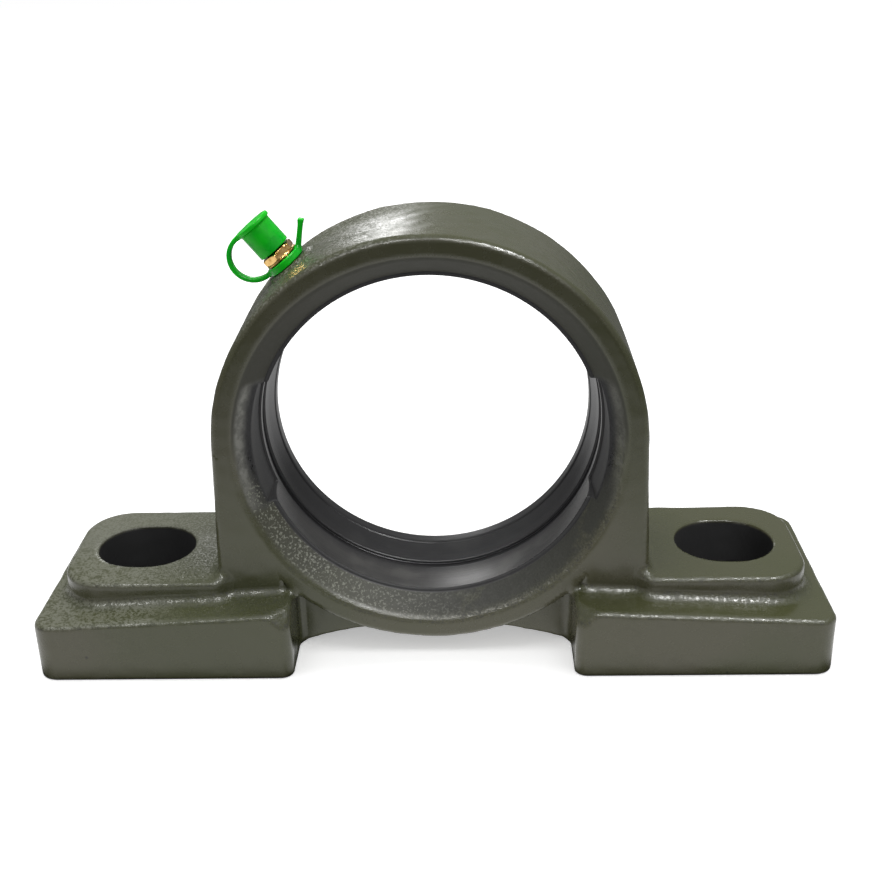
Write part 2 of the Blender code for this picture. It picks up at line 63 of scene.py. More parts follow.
# casting
RING_RADIUS = 0.0442
RING_DEPTH = 0.029
RING_EDGE = 0.0015
AXIS_HEIGHT = 0.0476
CHEEK_ROOT = 0.009
CHEEK_SPREAD = 0.0015
HALF_LENGTH = housing_high.x
HALF_DEPTH = housing_high.y
FOOT_LENGTH = 0.054
FOOT_START = HALF_LENGTH - FOOT_LENGTH
FOOT_TOP_INNER = 0.0153
FOOT_TOP_OUTER = 0.0127
FOOT_CORNER = 0.0042
FOOT_INNER_CORNER = 0.0026
FOOT_EDGE = 0.0012
BOLT_OFFSET = 0.0635
SLOT_WIDTH = 0.0184
SLOT_LENGTH = 0.0212
BOSS_TOP = 0.019
BOSS_START = 0.0440
BOSS_END = 0.0792
BOSS_HALF_WIDTH = 0.0168
BOSS_CORNER = 0.0095
BOSS_INNER_CORNER = 0.0025
BOSS_EDGE = 0.0012
CORE_WALL = 0.0055
CORE_DEPTH = 0.008
CORE_CORNER = 0.0035
WEB_HALF_DEPTH = 0.010
WEB_TOP = 0.018
WEB_EDGE = 0.0008
ARCH_HALF_SPAN = 0.0292
ARCH_RISE = 0.0048

# fillets of the casting
FOOT_FILLET = 0.0018
BOSS_FILLET = 0.0024
WEB_FILLET = 0.0018
PAD_FILLET = 0.0008

# bore
SEAT_RADIUS = 0.036
SEAT_FRONT = -0.009
SEAT_BACK = 0.0105
FLARE_MOUTH = 0.0399
FLARE_ROOT = 0.0356
BACK_BORE = 0.0343
GROOVE_CENTRE = 0.0032
GROOVE_HALF_WIDTH = 0.0012
GROOVE_DEPTH = 0.0006
POCKET_RADIUS = 0.0365
POCKET_HALF_HEIGHT = 0.0132
POCKET_FLOOR = 0.0004
CAST_ARRIS = 0.0008       # rounding where cast faces meet
CUT_ARRIS = 0.0002        # rounding of machined corners
SLOT_ARRIS = 0.0005
ROUGH_BORE = 0.0334       # the hole that the fine mesh of the bore is set into

# unevenness of the cast skin
BROAD_SKIN = 0.00003
BROAD_WAVELENGTH = 0.014
FINE_SKIN = 0.000016
FINE_WAVELENGTH = 0.0042
SKIN_FADE = 0.002         # over which it dies away beside machined faces

# nipple, in heights along its axis from the spot face
NIPPLE_ANGLE = radians(39.0)
NIPPLE_Y = 0.0015
PAD_HEIGHT = 0.0445
PAD_RADIUS = 0.0052
PAD_ROOT = -0.004
NIPPLE_HOLE = 0.0033
HOLE_STEP = -0.0057
GREASE_HOLE = 0.0016
GREASE_HOLE_END = -0.012
THREAD_RADIUS = 0.0030
THREAD_END = -0.0050
THREAD_START = -0.0004
THREAD_PITCH = 0.0010
THREAD_DEPTH = 0.00045
TIP_CHAMFER = 0.0003
TURNED_EDGE = 0.0001
HEX_FLATS = 0.0064
HEX_START = 0.0019
HEX_END = 0.0038
HEX_EDGE = 0.00006
HEX_BEVEL = 1.8           # how far the corner bevels run in for each unit of height
FLANGE_RADIUS = 0.0036
FLANGE_HEIGHT = 0.00035
NECK_RADIUS = 0.0021
NECK_OVERLAP = 0.001
NECK_FILLET = 0.0002
HEAD_RADIUS = 0.00265
HEAD_START = 0.0055
HEAD_END = 0.0093
HEAD_EDGE = 0.0006
HEAD_FILLET = 0.0003
NOSE_FLAT = 0.0005
NIPPLE_BORE = 0.0013
BORE_PAST_BALL = 0.0006
NIPPLE_MOUTH = 0.00075
CRIMP_BORE = 0.0008
CRIMP_LENGTH = 0.0007
BALL_RADIUS = 0.00095
BALL_HEIGHT = 0.0069
SPRING_WIRE = 0.00015
SPRING_RADIUS = 0.00075
SPRING_TURNS = 8
SPRING_CLOSED = 2.1       # rise of its closed end turns, in wire radii

# cap, strap and ring, in the same heights
CAP_MOUTH = 0.0041
CAP_TOP = 0.0110
CUP_RADIUS = 0.00345
CUP_BORE = 0.00298
CUP_CORNER = 0.0005
CUP_LIP = 0.00012
LID_RADIUS = 0.0039
LID_THICK = 0.0009
LID_EDGE = 0.00022
LID_FILLET = 0.0003
BEAD_HEIGHT = 0.0009      # above the cup's mouth
BEAD_RADIUS = 0.00014
BEAD_FILLET = 0.0002
DIMPLE_CENTRE = 0.0009    # above the lid
DIMPLE_RADIUS = 0.0011
DIMPLE_EDGE = 0.0001
MOULDED_EDGE = 0.0002
LUG_FILLET = 0.0004
RING_INNER = 0.0033
RING_OUTER = 0.0041
RING_LOW = 0.0002
RING_HIGH = 0.0017
RING_ROUNDING = 0.00028
RING_LUG_OVERLAP = 0.0002
STRAP_THICK = 0.0010
STRAP_WIDTH = 0.0020
STRAP_FIT = 0.92          # share of the lugs' section that the strap fills
STRAP_CORNER = 0.0003
STRAP_OFFSET = 0.0045     # from the nipple's axis to where the strap starts to bend
STRAP_OVERLAP = 0.0004
TAIL_START = (0.0034, 0.0009)
TAIL_END = (0.0083, 0.0053)
TAIL_HALF_THICK = 0.0005
TAIL_HALF_WIDTH = 0.0008
TAIL_EDGE = 0.00025
TAIL_TIP_EDGE = 0.0003
TAIL_FILLET = 0.0006
TAIL_TIP_SWELL = 0.00012
TAIL_ROOT_SWELL = 0.0001
TAIL_ROOT_LENGTH = 0.003

# mesh sizes
COARSE = 1
CAST_STEP = 0.00082 * COARSE
SMALL_STEP = 0.00014 * COARSE
BORE_STEP = 0.001 * COARSE
BORE_CREASE_STEP = 0.00013 * COARSE
BORE_CREASE_REACH = 0.0004
TURN_STEP = 0.0155 * COARSE
TURN_CORNER_STEP = 0.003 * COARSE
TURN_CORNER_REACH = 0.012
BORE_MARGIN = 0.0002      # from the ring's faces to the first station in the bore
CUTTER_PAST = 0.0008      # how far the cutter overshoots those faces
BISECTIONS = 16


def nipple_frame():
    """Local Z runs out along the nipple from its spot face, local X uphill."""
    axis = Vector((-sin(NIPPLE_ANGLE), 0.0, cos(NIPPLE_ANGLE)))
    base = Vector((0.0, NIPPLE_Y, AXIS_HEIGHT)) + axis * PAD_HEIGHT
    return Matrix.Translation(base) @ Euler((0.0, -NIPPLE_ANGLE, 0.0)).to_matrix().to_4x4()


NIPPLE_FRAME = nipple_frame()


# ------------------------------------------------------------ distance tools
def thick(outline, past_face, edge):
    """An outline's distance given thickness, with a rounded rim."""
    du = outline + edge
    dv = past_face + edge
    outside = np.hypot(np.maximum(du, 0), np.maximum(dv, 0))
    return outside + np.minimum(np.maximum(du, dv), 0) - edge


def box2(u, v, half_u, half_v, corner):
    """Distance to a rounded rectangle about the origin."""
    return thick(np.abs(u) - half_u, np.abs(v) - half_v, corner)


def between(value, low, high):
    """Distance past either end of a stretch."""
    return np.maximum(low - value, value - high)


def join(a, b, fillet):
    """Union of two solids with a round fillet between them."""
    du = np.maximum(fillet - a, 0)
    dv = np.maximum(fillet - b, 0)
    return np.maximum(fillet, np.minimum(a, b)) - np.hypot(du, dv)


def cut(solid, hollow, arris):
    """The solid less the hollow, its new edges rounded."""
    du = np.maximum(arris + solid, 0)
    dv = np.maximum(arris - hollow, 0)
    return np.minimum(-arris, np.maximum(solid, -hollow)) + np.hypot(du, dv)


def ramp(value, low, high):
    """0 below low, 1 above high, even between."""
    return np.clip((value - low) / (high - low), 0, 1)


# ------------------------------------------------------------ meshing
def slopes(distance, points):
    """Unit normals of the distance function at the points."""
    reach = 0.00002
    slope = np.empty_like(points)
    for k in range(3):
        offset = np.zeros(3)
        offset[k] = reach
        slope[:, k] = distance(*(points + offset).T) - distance(*(points - offset).T)
    return slope / np.maximum(np.linalg.norm(slope, axis=1), 1e-12)[:, None]


def meeting_points(owner, points, normals, step):
    """For each cell, the point nearest to all its crossings' tangent planes."""
    hold = 0.06
    farthest = 0.6 * step
    used, number = np.unique(owner, return_inverse=True)
    count = np.bincount(number)
    middle = np.stack([np.bincount(number, points[:, k]) for k in range(3)], 1) / count[:, None]
    level = (normals * (points - middle[number])).sum(1)
    matrix = np.zeros((len(used), 3, 3))
    right = np.zeros((len(used), 3))
    for i in range(3):
        right[:, i] = np.bincount(number, normals[:, i] * level)
        matrix[:, i, i] = hold * count
        for j in range(3):
            matrix[:, i, j] += np.bincount(number, normals[:, i] * normals[:, j])
    move = np.linalg.solve(matrix, right[..., None])[..., 0]
    return used, middle + np.clip(move, -farthest, farthest)


def surface_net(distance, low, high, step):
    """Vertices and quads where the distance changes sign, a vertex to a cell."""
    axes = [np.arange(a - 1.5 * step, b + 2.5 * step, step) for a, b in zip(low, high)]
    field = distance(*np.meshgrid(*axes, indexing="ij", sparse=True))
    inside = field < 0
    cells = np.array(field.shape) - 1
    owners, crossings, normals, quads = [], [], [], []
    for axis in range(3):
        first = [slice(None)] * 3
        second = [slice(None)] * 3
        first[axis] = slice(None, -1)
        second[axis] = slice(1, None)
        first, second = tuple(first), tuple(second)
        crossing = inside[first] != inside[second]
        index = np.stack(np.nonzero(crossing), 1)
        start = field[first][crossing]
        end = field[second][crossing]
        point = index.astype(float)
        point[:, axis] += start / (start - end)
        point = point * step + [a[0] for a in axes]
        normal = slopes(distance, point)
        ring = []
        for back_u, back_v in ((0, 0), (1, 0), (1, 1), (0, 1)):
            cell = index.copy()
            cell[:, (axis + 1) % 3] -= back_u
            cell[:, (axis + 2) % 3] -= back_v
            ring.append(np.ravel_multi_index(cell.T, cells))
        owners += ring
        crossings += [point] * 4
        normals += [normal] * 4
        quad = np.stack(ring, 1)
        quad[start > 0] = quad[start > 0][:, ::-1]
        quads.append(quad)
    joined = (np.concatenate(part) for part in (owners, crossings, normals))
    used, vertices = meeting_points(*joined, step)
    return vertices, np.searchsorted(used, np.concatenate(quads))


def pull_to_surface(points, distance, rounds=3):
    """Moves points along the distance's slope until they lie on the surface."""
    farthest = 0.0005
    for _ in range(rounds):
        move = np.clip(distance(*points.T), -farthest, farthest)
        points = points - slopes(distance, points) * move[:, None]
    return points


def nipple_solid(name, distance, low, high):
    """A mesh of a distance function in the nipple's frame, with the function's own normals."""
    vertices, quads = surface_net(distance, low, high, SMALL_STEP)
    vertices = pull_to_surface(vertices, distance)
    normals = slopes(distance, vertices)
    piece = mesh_object(name, vertices.tolist(), quads.tolist())
    piece.data.transform(NIPPLE_FRAME)
    normals = normals @ np.array(NIPPLE_FRAME.to_3x3()).T
    piece.data.normals_split_custom_set_from_vertices(normals.tolist())
    return piece


def placed(name, data):
    """A new object in the scene."""
    piece = bpy.data.objects.new(name, data)
    bpy.context.scene.collection.objects.link(piece)
    return piece


def mesh_object(name, vertices, faces):
    mesh = bpy.data.meshes.new(name)
    mesh.from_pydata(vertices, [], faces)
    mesh.validate()
    mesh.shade_smooth()
    return placed(name, mesh)


def sweep(name, path, side, half_wide, half_thick, corner):
    """A rounded flat strip along a path by the nipple; side is the direction of its width."""
    section = []
    for quarter, (u, v) in enumerate(((1, 1), (-1, 1), (-1, -1), (1, -1))):
        for i in range(4):
            angle = (quarter + i / 3) * pi / 2
            section.append((u * (half_wide - corner) + corner * cos(angle),
                            v * (half_thick - corner) + corner * sin(angle)))
    count = len(section)
    vertices = []
    for i, point in enumerate(path):
        along = (path[min(i + 1, len(path) - 1)] - path[max(i - 1, 0)]).normalized()
        across = side.cross(along)
        for u, v in section:
            vertices.append(point + side * u + across * v)
    faces = []
    for i in range(len(path) - 1):
        for j in range(count):
            k = (j + 1) % count
            low, high = i * count, (i + 1) * count
            faces.append((low + j, high + j, high + k, low + k))
    faces.append(tuple(range(count)))
    faces.append(tuple(len(vertices) - 1 - j for j in range(count)))
    piece = mesh_object(name, vertices, faces)
    piece.data.transform(NIPPLE_FRAME)
    piece.data.set_sharp_from_angle(angle=radians(60))
    return piece


# ------------------------------------------------------------ casting
def casting_outside(x, y, z):
    """Distance to the solid casting, before anything is cored or cut."""
    side = np.abs(x)
    up = z - AXIS_HEIGHT
    ring = np.hypot(x, up) - RING_RADIUS
    cheek_in = FOOT_START + FOOT_FILLET
    cheek_out = RING_RADIUS + CHEEK_SPREAD * (AXIS_HEIGHT - z) / (AXIS_HEIGHT - CHEEK_ROOT)
    cheek = np.maximum(between(side, cheek_in, cheek_out), between(z, CHEEK_ROOT, AXIS_HEIGHT))
    block = thick(np.minimum(ring, cheek), np.abs(y) - RING_DEPTH / 2, RING_EDGE)

    arch_radius = (ARCH_HALF_SPAN ** 2 + ARCH_RISE ** 2) / (2 * ARCH_RISE)
    arch = arch_radius - np.hypot(x, z - ARCH_RISE + arch_radius)
    web = np.maximum(np.maximum(arch, z - WEB_TOP), side - FOOT_START - WEB_FILLET)
    web = thick(web, np.abs(y) - WEB_HALF_DEPTH, WEB_EDGE)
    block = join(block, web, WEB_FILLET)

    slope = (FOOT_TOP_OUTER - FOOT_TOP_INNER) / FOOT_LENGTH
    foot_top = FOOT_TOP_INNER + slope * (side - FOOT_START)
    middle = HALF_LENGTH - FOOT_LENGTH / 2
    corner = np.where(side > middle, FOOT_CORNER, FOOT_INNER_CORNER)
    plan = box2(side - middle, y, FOOT_LENGTH / 2, HALF_DEPTH, corner)
    block = join(block, thick(plan, z - foot_top, FOOT_EDGE), FOOT_FILLET)

    middle = (BOSS_START + BOSS_END) / 2
    corner = np.where(side > middle, BOSS_CORNER, BOSS_INNER_CORNER)
    plan = box2(side - middle, y, BOSS_END - middle, BOSS_HALF_WIDTH, corner)
    block = join(block, thick(plan, z - BOSS_TOP, BOSS_EDGE), BOSS_FILLET)

    across, along = nipple_coordinates(x, y, z)
    pad = thick(across - PAD_RADIUS, between(along, PAD_ROOT, 0.0), CUT_ARRIS)
    return join(block, pad, PAD_FILLET)


def nipple_coordinates(x, y, z):
    """Distance from the nipple's axis, and height along it from its spot face."""
    across = x * cos(NIPPLE_ANGLE) + (z - AXIS_HEIGHT) * sin(NIPPLE_ANGLE)
    along = -x * sin(NIPPLE_ANGLE) + (z - AXIS_HEIGHT) * cos(NIPPLE_ANGLE) - PAD_HEIGHT
    return np.hypot(across, y - NIPPLE_Y), along


def casting_blank(x, y, z):
    """Distance to the casting with its cores and bolt slots, but no bore yet."""
    side = np.abs(x)
    block = casting_outside(x, y, z)
    middle = HALF_LENGTH - FOOT_LENGTH / 2
    plan = box2(side - middle, y, FOOT_LENGTH / 2 - CORE_WALL, HALF_DEPTH - CORE_WALL, CORE_CORNER)
    block = cut(block, thick(plan, z - CORE_DEPTH, 2 * WEB_EDGE), CAST_ARRIS / 2)
    straight = (SLOT_LENGTH - SLOT_WIDTH) / 2
    slot = np.hypot(np.maximum(np.abs(side - BOLT_OFFSET) - straight, 0), y) - SLOT_WIDTH / 2
    block = cut(block, slot, SLOT_ARRIS)
    return cut(block, z, CUT_ARRIS)


def bored(block, x, y, z):
    """The casting less its flare, spherical seat, back mouth and loading pockets."""
    up = z - AXIS_HEIGHT
    bore_radius = np.hypot(x, up)
    slope = (FLARE_MOUTH - FLARE_ROOT) / (RING_DEPTH / 2 + SEAT_FRONT)
    flare_radius = FLARE_ROOT + slope * (SEAT_FRONT - y)
    flare = np.maximum((bore_radius - flare_radius) / sqrt(1 + slope ** 2), y - SEAT_FRONT)
    block = cut(block, flare, CAST_ARRIS)

    # machined seat with its grease groove, and the mouth behind it
    seat = np.hypot(bore_radius, y) - SEAT_RADIUS
    seat = np.maximum(seat, between(y, SEAT_FRONT - CAST_ARRIS, SEAT_BACK))
    block = cut(block, seat, CUT_ARRIS)
    block = cut(block, np.maximum(bore_radius - BACK_BORE, -y), CAST_ARRIS)
    groove_radius = sqrt(SEAT_RADIUS ** 2 - GROOVE_CENTRE ** 2) + GROOVE_DEPTH
    groove = thick(bore_radius - groove_radius, np.abs(y - GROOVE_CENTRE) - GROOVE_HALF_WIDTH, CUT_ARRIS)
    block = cut(block, groove, CUT_ARRIS)

    # loading pockets, their end walls round the bore's own axis
    pocket = np.maximum(bore_radius - POCKET_RADIUS, np.abs(up) - POCKET_HALF_HEIGHT)
    return cut(block, thick(pocket, y - POCKET_FLOOR, CUT_ARRIS), CUT_ARRIS)


def drilled(block, x, y, z):
    """The casting less the nipple's hole and the grease hole below it."""
    across, along = nipple_coordinates(x, y, z)
    hole = np.maximum(across - NIPPLE_HOLE, HOLE_STEP - along)
    grease_hole = np.maximum(across - GREASE_HOLE, GREASE_HOLE_END - along)
    return cut(block, np.minimum(hole, grease_hole), CUT_ARRIS)


def casting_distance(x, y, z):
    """Distance to the finished housing's surface, below zero in the iron."""
    return drilled(bored(casting_blank(x, y, z), x, y, z), x, y, z)


def rough_bored(x, y, z):
    """The casting with a plain undersized hole for its bore."""
    rough = cut(casting_blank(x, y, z), np.hypot(x, z - AXIS_HEIGHT) - ROUGH_BORE, CUT_ARRIS)
    return drilled(rough, x, y, z)


def waves(x, y, z, wavelength, count, seed):
    """A smooth random field of unit spread: plane waves in random directions."""
    rng = np.random.default_rng(seed)
    directions = rng.normal(size=(count, 3))
    directions /= np.linalg.norm(directions, axis=1)[:, None]
    lengths = wavelength * rng.uniform(0.7, 1.4, count)
    phases = rng.uniform(0, 2 * pi, count)
    total = 0.0
    for (a, b, c), length, phase in zip(directions, lengths, phases):
        total = total + np.sin((a * x + b * y + c * z) * (2 * pi / length) + phase)
    return total * sqrt(2 / count)


def as_cast(x, y, z):
    """1 on rough cast skin, fading to 0 on machined faces and at the bore."""
    bore = ramp(np.hypot(x, z - AXIS_HEIGHT), SEAT_RADIUS + CAST_ARRIS, FLARE_MOUTH)
    across, along = nipple_coordinates(x, y, z)
    pad = np.maximum(ramp(across, PAD_RADIUS, PAD_RADIUS + SKIN_FADE),
                     ramp(-along, SKIN_FADE / 2, SKIN_FADE))
    return bore * pad * ramp(z, SKIN_FADE / 4, SKIN_FADE)


def skinned_casting(x, y, z):
    """The housing with the faint unevenness that a sand mould leaves."""
    skin = BROAD_SKIN * waves(x, y, z, BROAD_WAVELENGTH, count=24, seed=3)
    skin = skin + FINE_SKIN * waves(x, y, z, FINE_WAVELENGTH, count=32, seed=4)
    return casting_distance(x, y, z) - skin * as_cast(x, y, z)


def clustered(low, high, spacing, centres, reach, fine):
    """Even stations from low to high, with finer ones close to some of them."""
    stations = [np.arange(low, high + spacing / 2, spacing)]
    for centre in centres:
        stations.append(np.arange(centre - reach, centre + reach + fine / 2, fine))
    stations = np.sort(np.concatenate(stations))
    stations = stations[(stations >= low) & (stations <= high)]
    closest = 0.4 * fine
    return stations[np.concatenate([[True], np.diff(stations) > closest])]


def bore_cutter():
    """The bore as a solid, its wall a grid of turns by depths found on the surface."""
    half = RING_DEPTH / 2
    front, back = BORE_MARGIN - half, half - BORE_MARGIN
    groove = (GROOVE_CENTRE - GROOVE_HALF_WIDTH, GROOVE_CENTRE + GROOVE_HALF_WIDTH)
    creases = (-half, SEAT_FRONT, POCKET_FLOOR, *groove, SEAT_BACK, half)
    depths = clustered(front, back, BORE_STEP, creases, BORE_CREASE_REACH, BORE_CREASE_STEP)
    corner = asin(POCKET_HALF_HEIGHT / SEAT_RADIUS)
    corners = (corner, pi - corner, pi + corner, 2 * pi - corner)
    almost_round = 2 * pi - 0.001
    turns = clustered(0.0, almost_round, TURN_STEP, corners, TURN_CORNER_REACH, TURN_CORNER_STEP)
    y, turn = np.meshgrid(depths, turns, indexing="ij")
    outermost = RING_RADIUS - 0.002
    low = np.full(y.shape, ROUGH_BORE)
    high = np.full(y.shape, outermost)
    for _ in range(BISECTIONS):
        middle = (low + high) / 2
        x = middle * np.cos(turn)
        z = AXIS_HEIGHT + middle * np.sin(turn)
        inside = bored(casting_blank(x, y, z), x, y, z) < 0
        high = np.where(inside, middle, high)
        low = np.where(inside, low, middle)
    radius = (low + high) / 2
    radius = np.vstack([radius[:1] + CUTTER_PAST, radius, radius[-1:] + CUTTER_PAST])
    y = np.vstack([y[:1] - CUTTER_PAST, y, y[-1:] + CUTTER_PAST])
    turn = np.vstack([turn[:1], turn, turn[-1:]])
    points = np.stack([radius * np.cos(turn), y, AXIS_HEIGHT + radius * np.sin(turn)], 2)
    rows, columns = radius.shape
    number = np.arange(rows * columns).reshape(rows, columns)
    beside = np.roll(number, -1, axis=1)
    faces = np.stack([number[:-1], number[1:], beside[1:], beside[:-1]], 2).reshape(-1, 4).tolist()
    faces.append(number[0].tolist())
    faces.append(number[-1][::-1].tolist())
    return mesh_object("bore_cutter", points.reshape(-1, 3).tolist(), faces)


def cast_housing():
    """The casting's net with the finer bore set in, then its skin and shading."""
    low = (housing_low.x, housing_low.y, 0.0)
    vertices, quads = surface_net(rough_bored, low, housing_high, CAST_STEP)
    vertices = pull_to_surface(vertices, rough_bored)
    piece = mesh_object("cast_housing", vertices.tolist(), quads.tolist())
    cutter = bore_cutter()
    boring = piece.modifiers.new("Bore", "BOOLEAN")
    boring.operation = "DIFFERENCE"
    boring.solver = "MANIFOLD"
    boring.object = cutter
    apply_modifiers(piece)
    bpy.data.objects.remove(cutter)

    mesh = piece.data
    points = np.empty(3 * len(mesh.vertices))
    mesh.vertices.foreach_get("co", points)
    points = pull_to_surface(points.reshape(-1, 3), skinned_casting)
    points[:, 2] = np.maximum(points[:, 2], 0.0)
    mesh.vertices.foreach_set("co", points.ravel())
    mesh.update()
    set_normals(mesh, points, skinned_casting)
    return piece


def set_normals(mesh, points, distance):
    """Shading normals from the distance function, each corner on its own face's side."""
    corner = np.empty(len(mesh.loops), int)
    mesh.loops.foreach_get("vertex_index", corner)
    centre = np.empty(3 * len(mesh.polygons))
    mesh.polygons.foreach_get("center", centre)
    sides = np.empty(len(mesh.polygons), int)
    mesh.polygons.foreach_get("loop_total", sides)
    centre = np.repeat(centre.reshape(-1, 3), sides, axis=0)
    at = points[corner]
    inward = 0.25
    mesh.shade_smooth()
    mesh.normals_split_custom_set(slopes(distance, at + inward * (centre - at)).tolist())


# ------------------------------------------------------------ nipple
def nipple_distance(u, v, w):
    """Threaded shank, flange, hexagon, neck and head, bored through."""
    radius = np.hypot(u, v)
    turn = np.arctan2(v, u)
    thread = THREAD_DEPTH * (0.5 + 0.5 * np.cos(2 * pi * w / THREAD_PITCH - turn))
    thread = np.minimum(thread, np.maximum(0.0, THREAD_START - w))
    shank = np.maximum(radius - THREAD_RADIUS + thread, between(w, THREAD_END, HEX_START))
    tip = (radius - THREAD_RADIUS + THREAD_END - w) / sqrt(2)
    shank = np.maximum(shank, tip + TIP_CHAMFER)
    flange_top = HEX_START + FLANGE_HEIGHT
    flange = thick(radius - FLANGE_RADIUS, between(w, HEX_START, flange_top), TURNED_EDGE)
    across_flats = [np.abs(u * cos(i * pi / 3) + v * sin(i * pi / 3)) for i in range(3)]
    flats = np.max(across_flats, axis=0) - HEX_FLATS / 2
    hexagon = thick(flats, between(w, HEX_START, HEX_END), HEX_EDGE)
    corner = radius - HEX_FLATS / 2
    for past_end in (w - HEX_END, flange_top - w):
        hexagon = np.maximum(hexagon, (corner + HEX_BEVEL * past_end) / sqrt(1 + HEX_BEVEL ** 2))
    neck = np.maximum(radius - NECK_RADIUS, between(w, HEX_START, HEAD_START + NECK_OVERLAP))
    head = thick(radius - HEAD_RADIUS, between(w, HEAD_START - HEAD_EDGE, HEAD_END), HEAD_EDGE)
    nose = (radius - NIPPLE_MOUTH - NOSE_FLAT + w - HEAD_END) / sqrt(2)
    body = np.minimum(np.minimum(shank, flange), hexagon)
    body = join(join(body, neck, NECK_FILLET), np.maximum(head, nose), HEAD_FILLET)
    bore_top = BALL_HEIGHT + BORE_PAST_BALL
    bore = np.maximum(radius - NIPPLE_BORE, between(w, THREAD_END + CRIMP_LENGTH, bore_top))
    mouth = np.maximum(radius - NIPPLE_MOUTH, BALL_HEIGHT - w)
    crimp = np.maximum(radius - CRIMP_BORE, w)
    return cut(body, np.minimum(np.minimum(bore, mouth), crimp), TURNED_EDGE)


def grease_nipple():
    low = (-FLANGE_RADIUS, -FLANGE_RADIUS, THREAD_END)
    high = (FLANGE_RADIUS, FLANGE_RADIUS, HEAD_END)
    return nipple_solid("grease_nipple", nipple_distance, low, high)


def check_ball():
    """The ball, as a subdivided cube pressed out to a sphere."""
    bpy.ops.mesh.primitive_cube_add(size=2.0)
    piece = bpy.context.object
    piece.name = "check_ball_steel"
    rounder = piece.modifiers.new("Rounder", "SUBSURF")
    rounder.levels = 4
    rounder.render_levels = 4
    apply_modifiers(piece)
    for vertex in piece.data.vertices:
        vertex.co = vertex.co.normalized() * BALL_RADIUS + Vector((0, 0, BALL_HEIGHT))
    piece.data.transform(NIPPLE_FRAME)
    piece.data.shade_smooth()
    return piece


def apply_modifiers(piece):
    """Replaces the mesh by its evaluated shape, and drops the modifiers."""
    bpy.context.view_layer.update()
    depsgraph = bpy.context.evaluated_depsgraph_get()
    mesh = bpy.data.meshes.new_from_object(piece.evaluated_get(depsgraph))
    old = piece.data
    piece.modifiers.clear()
    piece.data = mesh
    mesh.name = piece.name
    bpy.data.meshes.remove(old)


def ball_spring():
    """A compression spring whose end turns lie closed."""
    low = THREAD_END + CRIMP_LENGTH + SPRING_WIRE * 2
    high = BALL_HEIGHT - BALL_RADIUS - SPRING_WIRE * 2
    closed = SPRING_WIRE * SPRING_CLOSED
    points_per_turn = 24
    count = SPRING_TURNS * points_per_turn
    path = []
    for i in range(count + 1):
        turns = i / points_per_turn
        middle = (turns - 1) / (SPRING_TURNS - 2)
        height = low + closed * min(turns, 1)
        if turns > 1:
            height += (high - low - 2 * closed) * min(middle, 1)
        if middle > 1:
            height += closed * (turns - SPRING_TURNS + 1)
        angle = 2 * pi * turns
        path.append(Vector((SPRING_RADIUS * cos(angle), SPRING_RADIUS * sin(angle), height)))
    rounding = SPRING_WIRE * 0.98
    return sweep("ball_spring", path, Vector((0, 0, 1)), SPRING_WIRE, SPRING_WIRE, rounding)


# ------------------------------------------------------------ cap
def cap_distance(u, v, w):
    """A moulded cup, open downwards, with a flanged lid and the strap's lug."""
    radius = np.hypot(u, v)
    lid_low = CAP_TOP - LID_THICK
    cup = thick(radius - CUP_RADIUS, between(w, CAP_MOUTH, CAP_TOP), MOULDED_EDGE)
    lid = thick(radius - LID_RADIUS, between(w, lid_low, CAP_TOP), LID_EDGE)
    lug = np.maximum(np.abs(v) - STRAP_WIDTH / 2, between(u, -STRAP_OFFSET, 0.0))
    lug = thick(lug, between(w, CAP_TOP - STRAP_THICK, CAP_TOP), MOULDED_EDGE)
    body = join(join(cup, lid, LID_FILLET), lug, LUG_FILLET)
    hollow = thick(radius - CUP_BORE, between(w, 0.0, lid_low), CUP_CORNER)
    body = cut(body, hollow, CUP_LIP)
    bead = np.hypot(radius - CUP_BORE, w - CAP_MOUTH - BEAD_HEIGHT) - BEAD_RADIUS
    dimple = np.hypot(radius, w - CAP_TOP - DIMPLE_CENTRE) - DIMPLE_RADIUS
    return cut(join(body, bead, BEAD_FILLET), dimple, DIMPLE_EDGE)


def dust_cap():
    low = (-STRAP_OFFSET, -LID_RADIUS, CAP_MOUTH)
    high = (LID_RADIUS, LID_RADIUS, CAP_TOP)
    return nipple_solid("moulded_cap", cap_distance, low, high)


def ring_distance(u, v, w):
    """The strap's ring, with its lug downhill and the pull tail uphill."""
    radius = np.hypot(u, v)
    ring = thick(between(radius, RING_INNER, RING_OUTER), between(w, RING_LOW, RING_HIGH), RING_ROUNDING)
    middle = (RING_LOW + RING_HIGH) / 2
    lug = between(u, -STRAP_OFFSET, -RING_INNER - RING_LUG_OVERLAP)
    lug = np.maximum(lug, np.abs(v) - STRAP_WIDTH / 2)
    lug = thick(lug, np.abs(w - middle) - STRAP_THICK / 2, MOULDED_EDGE)
    run = TAIL_END[0] - TAIL_START[0]
    rise = TAIL_END[1] - TAIL_START[1]
    length = sqrt(run ** 2 + rise ** 2)
    along = ((u - TAIL_START[0]) * run + (w - TAIL_START[1]) * rise) / length
    off = (-(u - TAIL_START[0]) * rise + (w - TAIL_START[1]) * run) / length
    swelling = TAIL_TIP_SWELL * ramp(along, 0.8 * length, 0.95 * length)
    swelling = swelling + TAIL_ROOT_SWELL * ramp(-along, -TAIL_ROOT_LENGTH, 0.0)
    plan = thick(np.abs(off) - TAIL_HALF_THICK - swelling, np.abs(v) - TAIL_HALF_WIDTH, TAIL_EDGE)
    tail = thick(plan, between(along, 0.0, length), TAIL_TIP_EDGE)
    return join(join(ring, lug, LUG_FILLET), tail, TAIL_FILLET)


